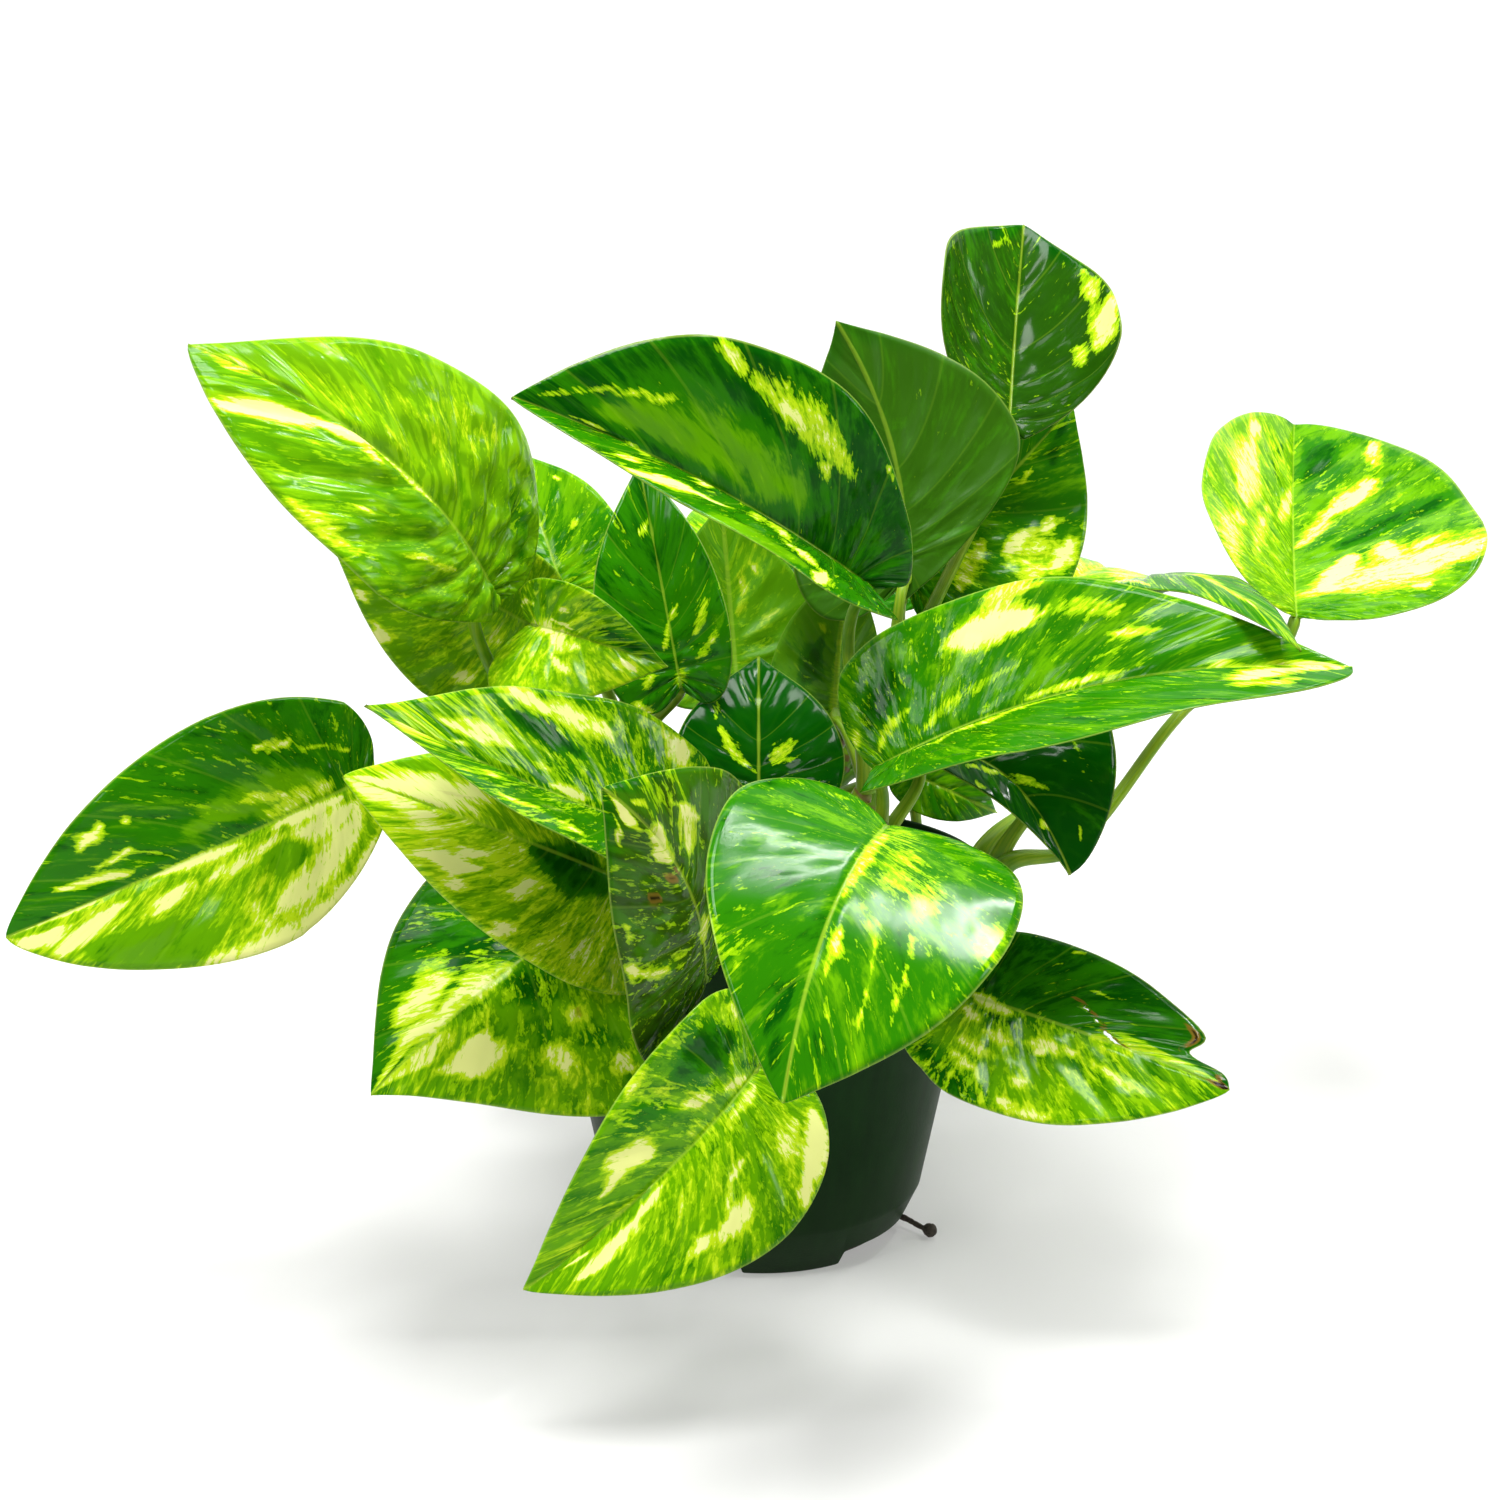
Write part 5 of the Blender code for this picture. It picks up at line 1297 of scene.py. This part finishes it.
def stalk_shape(spec, stem):
    """The stalk's line, its radius, and how deep its channel is at each ring."""
    points = stalk_path(spec, stem)
    last = len(points) - 1
    radii, channel = [], []
    for index in range(last + 1):
        share = index / last
        sheath = SHEATH_WIDER * max(0.0, 1.0 - share / SHEATH_END) ** SHEATH_FLARE
        knee = KNEE_WIDER * max(0.0, 1.0 - ((share - KNEE_PLACE) / KNEE_LENGTH) ** 2)
        close = 1.0 - TIP_NARROWS * max(0.0, (share - TIP_START) / TIP_LENGTH)
        thinned = min(1.0, share * STALK_TAPER)
        even = STALK_ROOT_RADIUS + (STALK_TIP_RADIUS - STALK_ROOT_RADIUS) * thinned
        radii.append((even + sheath + knee) * close)
        channel.append(CHANNEL_DEPTH * min(1.0, share / CHANNEL_OPENS)
                       * min(1.0, (1.0 - share) / CHANNEL_CLOSES))
    return points, radii, channel


def build_cutting(spec, finish):
    """One stem with its stalks as one mesh, and the values that its skin reads."""
    stem, radii, scars = stem_shape(spec)
    shapes = [(stem, radii, [0.0] * len(stem), scars)]
    for item in spec["stalks"]:
        points, radii, channel = stalk_shape(item, stem)
        shapes.append((points, radii, channel, [0.0] * len(points)))
    verts, faces, places, woody = [], [], [], []
    for points, radii, channel, scar in shapes:
        more, sides, spots = channelled_tube(points, radii, channel)
        faces += [tuple(len(verts) + k for k in face) for face in sides]
        verts += more
        places += spots
        woody += [value for value in scar for _ in range(TUBE_SIDES)]
    made = new_piece(spec["name"].replace("vine_", "cutting_"), verts, faces, finish,
                     hard_angle=radians(60))
    give(made, "place", np.array(places))
    give(made, "woody", np.array(woody))
    return made


# Living stem and stalk. Smooth yellow-green skin with paler lines along it, brown and rough in
# rings where a joint has corked over.
stalk_skin, tree, shader = new_finish("smooth_green_stalk", "6C9412", 0.38, ior=1.45)
shader.inputs["Specular IOR Level"].default_value = 0.25
place = add_node(tree, "ShaderNodeAttribute", attribute_name="place").outputs["Vector"]
woody = add_node(tree, "ShaderNodeAttribute", attribute_name="woody").outputs["Fac"]
spot = add_node(tree, "ShaderNodeTexCoord").outputs["Object"]
lines = add_node(tree, "ShaderNodeMapping", {"Vector": place, "Scale": (1.4, 0.05, 1.0)})
lengthwise = add_node(tree, "ShaderNodeTexNoise",
                      {"Vector": lines.outputs[0], "Scale": 1.5, "Detail": 3.0})
patches = add_node(tree, "ShaderNodeTexNoise", {"Vector": spot, "Scale": 60.0, "Detail": 3.0})
cork = add_node(tree, "ShaderNodeMath", {0: patches.outputs[0], 1: 0.9, 2: woody},
                operation="MULTIPLY_ADD")
layered(tree, shader, "6C9412", [
    (lengthwise.outputs[0], 0.42, 0.62, "98AE28", 0.5),
    (patches.outputs[0], 0.45, 0.65, "3E760A", 0.8),
    (cork.outputs[0], 0.95, 1.35, "6B5330", 0.85),
])
bump = add_node(tree, "ShaderNodeBump", {"Height": lengthwise.outputs[0], "Strength": 0.3,
                                         "Distance": 0.0002})
tree.links.new(bump.outputs[0], shader.inputs["Normal"])

for spec in VINES:
    stand_for(build_cutting(spec, stalk_skin), spec["name"])


# Stray root. One dead root has grown out of a drainage slot and dried, ending in a dark knob.
ROOT_RADIUS = 0.0007
KNOB_RADIUS = 0.0015
SHRINKAGE = 0.18
WRINKLING = 1400.0
ROOT_RINGS = 61
ROOT_POINTS = [(0.0331, -0.0062, 0.0026), (0.0350, -0.0074, 0.0024), (0.0375, -0.0100, 0.0020),
               (0.0390, -0.0115, 0.0018), (0.0400, -0.0125, 0.0019), (0.0410, -0.0135, 0.0019),
               (0.0417, -0.0142, 0.0019)]
ROOT_RADII = [ROOT_RADIUS, ROOT_RADIUS, ROOT_RADIUS * 0.9, ROOT_RADIUS, KNOB_RADIUS, KNOB_RADIUS,
              KNOB_RADIUS * 0.4]

# Dead root. A shrunken, wrinkled skin, grey brown and without gloss.
root_skin, tree, shader = new_finish("dried_root_skin", "3B342C", 0.85)
spot = add_node(tree, "ShaderNodeTexCoord").outputs["Object"]
wrinkles = add_node(tree, "ShaderNodeTexNoise", {"Vector": spot, "Scale": 1600.0, "Detail": 4.0})
two_tone(tree, shader, wrinkles.outputs[0], "1E1915", "5C5247", wrinkles.outputs[0], 0.8, 0.0003)

places = np.linspace(0.0, len(ROOT_POINTS) - 1.0, ROOT_RINGS)
path = [Vector(point) for point in smooth_curve(ROOT_POINTS, places)]
radii = smooth_curve([(radius,) for radius in ROOT_RADII], places)[:, 0]
radii = [radius * (1.0 + SHRINKAGE * noise.noise(point * WRINKLING))
         for radius, point in zip(radii, path)]
verts, faces, _ = channelled_tube(path, radii, [0.0] * len(path))
stand_for(new_piece("stray_root", verts, faces, root_skin), "drain_root")


# Studio. A white paper sweep that curves up behind the plant, a narrow strip light overhead that
# the leaves mirror as a white band, a broad panel above and on three sides, one for the paper
# behind, and a camera.
SWEEP_HALF_WIDTH = 2.6
SWEEP_FRONT = -2.2
SWEEP_BEND = 0.9
SWEEP_RADIUS = 0.6
SWEEP_TOP = 2.4
PAPER_GLOW = 0.31
SKY_GLOW = 0.14
LENS = 67.2
SENSOR_WIDTH = 36.0
CAMERA_PLACE = (-0.003, -0.637, 0.288)
CAMERA_TILT = radians(75.1)

# Paper. Uncoated, matt and white, and lit through from below like a light table.
paper, tree, shader = new_finish("matt_white_paper", "B8B8B6", 0.95)
shader.inputs["Emission Color"].default_value = linear("FFFFFD")
shader.inputs["Emission Strength"].default_value = PAPER_GLOW
bend = [(SWEEP_BEND + SWEEP_RADIUS * sin(turn), SWEEP_RADIUS * (1.0 - cos(turn)))
        for turn in np.linspace(0.0, pi / 2, 24)]
line = [(SWEEP_FRONT, 0.0)] + bend + [(SWEEP_BEND + SWEEP_RADIUS, SWEEP_TOP)]
verts = [(x, y, z) for y, z in line for x in (-SWEEP_HALF_WIDTH, SWEEP_HALF_WIDTH)]
faces = [(k, k + 1, k + 3, k + 2) for k in range(0, len(verts) - 2, 2)]
sweep = new_piece("paper_sweep", verts, faces, paper)

# Where each stands, its size, its power in watts, the point that it faces and its turn in degrees.
PANELS = {
    "overhead_strip": ((0.69, 0.29, 1.30), (0.85, 0.025), 10.0, (0.02, -0.12, 0.13), -51.0),
    "overhead_bank": ((0.02, -0.28, 1.35), (0.5, 0.5), 22.0, (0.0, 0.0, 0.12), 0.0),
    "front_panel": ((-0.45, -1.35, 1.00), (0.4, 0.4), 6.0, (0.0, 0.0, 0.12), 0.0),
    "right_panel": ((1.45, 0.05, 0.66), (0.36, 0.36), 5.0, (0.0, 0.0, 0.12), 0.0),
    "left_panel": ((-1.25, -0.60, 1.10), (0.5, 0.5), 9.0, (0.0, 0.0, 0.12), 0.0),
    "paper_light": ((0.0, 0.55, 1.7), (2.4, 0.4), 22.0, (0.0, 1.45, 0.2), 0.0),
}
for label, (place, size, power, target, turn) in PANELS.items():
    light = bpy.data.lights.new(label, "AREA")
    light.shape = "RECTANGLE"
    light.size, light.size_y = size
    light.energy = power
    made = add_object(label, light)
    made.location = place
    facing = (Vector(target) - Vector(place)).to_track_quat("-Z", "Y")
    made.rotation_euler = (facing @ Quaternion((0.0, 0.0, 1.0), radians(turn))).to_euler()

world = bpy.data.worlds.new("studio")
bpy.context.scene.world = world
world.use_nodes = True
sky = world.node_tree.nodes["Background"]
sky.inputs["Color"].default_value = (1.0, 1.0, 1.0, 1.0)
sky.inputs["Strength"].default_value = SKY_GLOW
bpy.context.scene.view_settings.view_transform = "Standard"

camera = bpy.data.cameras.new("camera")
camera.lens = LENS
camera.sensor_width = SENSOR_WIDTH
eye = add_object("camera", camera)
eye.location = CAMERA_PLACE
eye.rotation_euler = (CAMERA_TILT, 0.0, 0.0)
bpy.context.scene.camera = eye
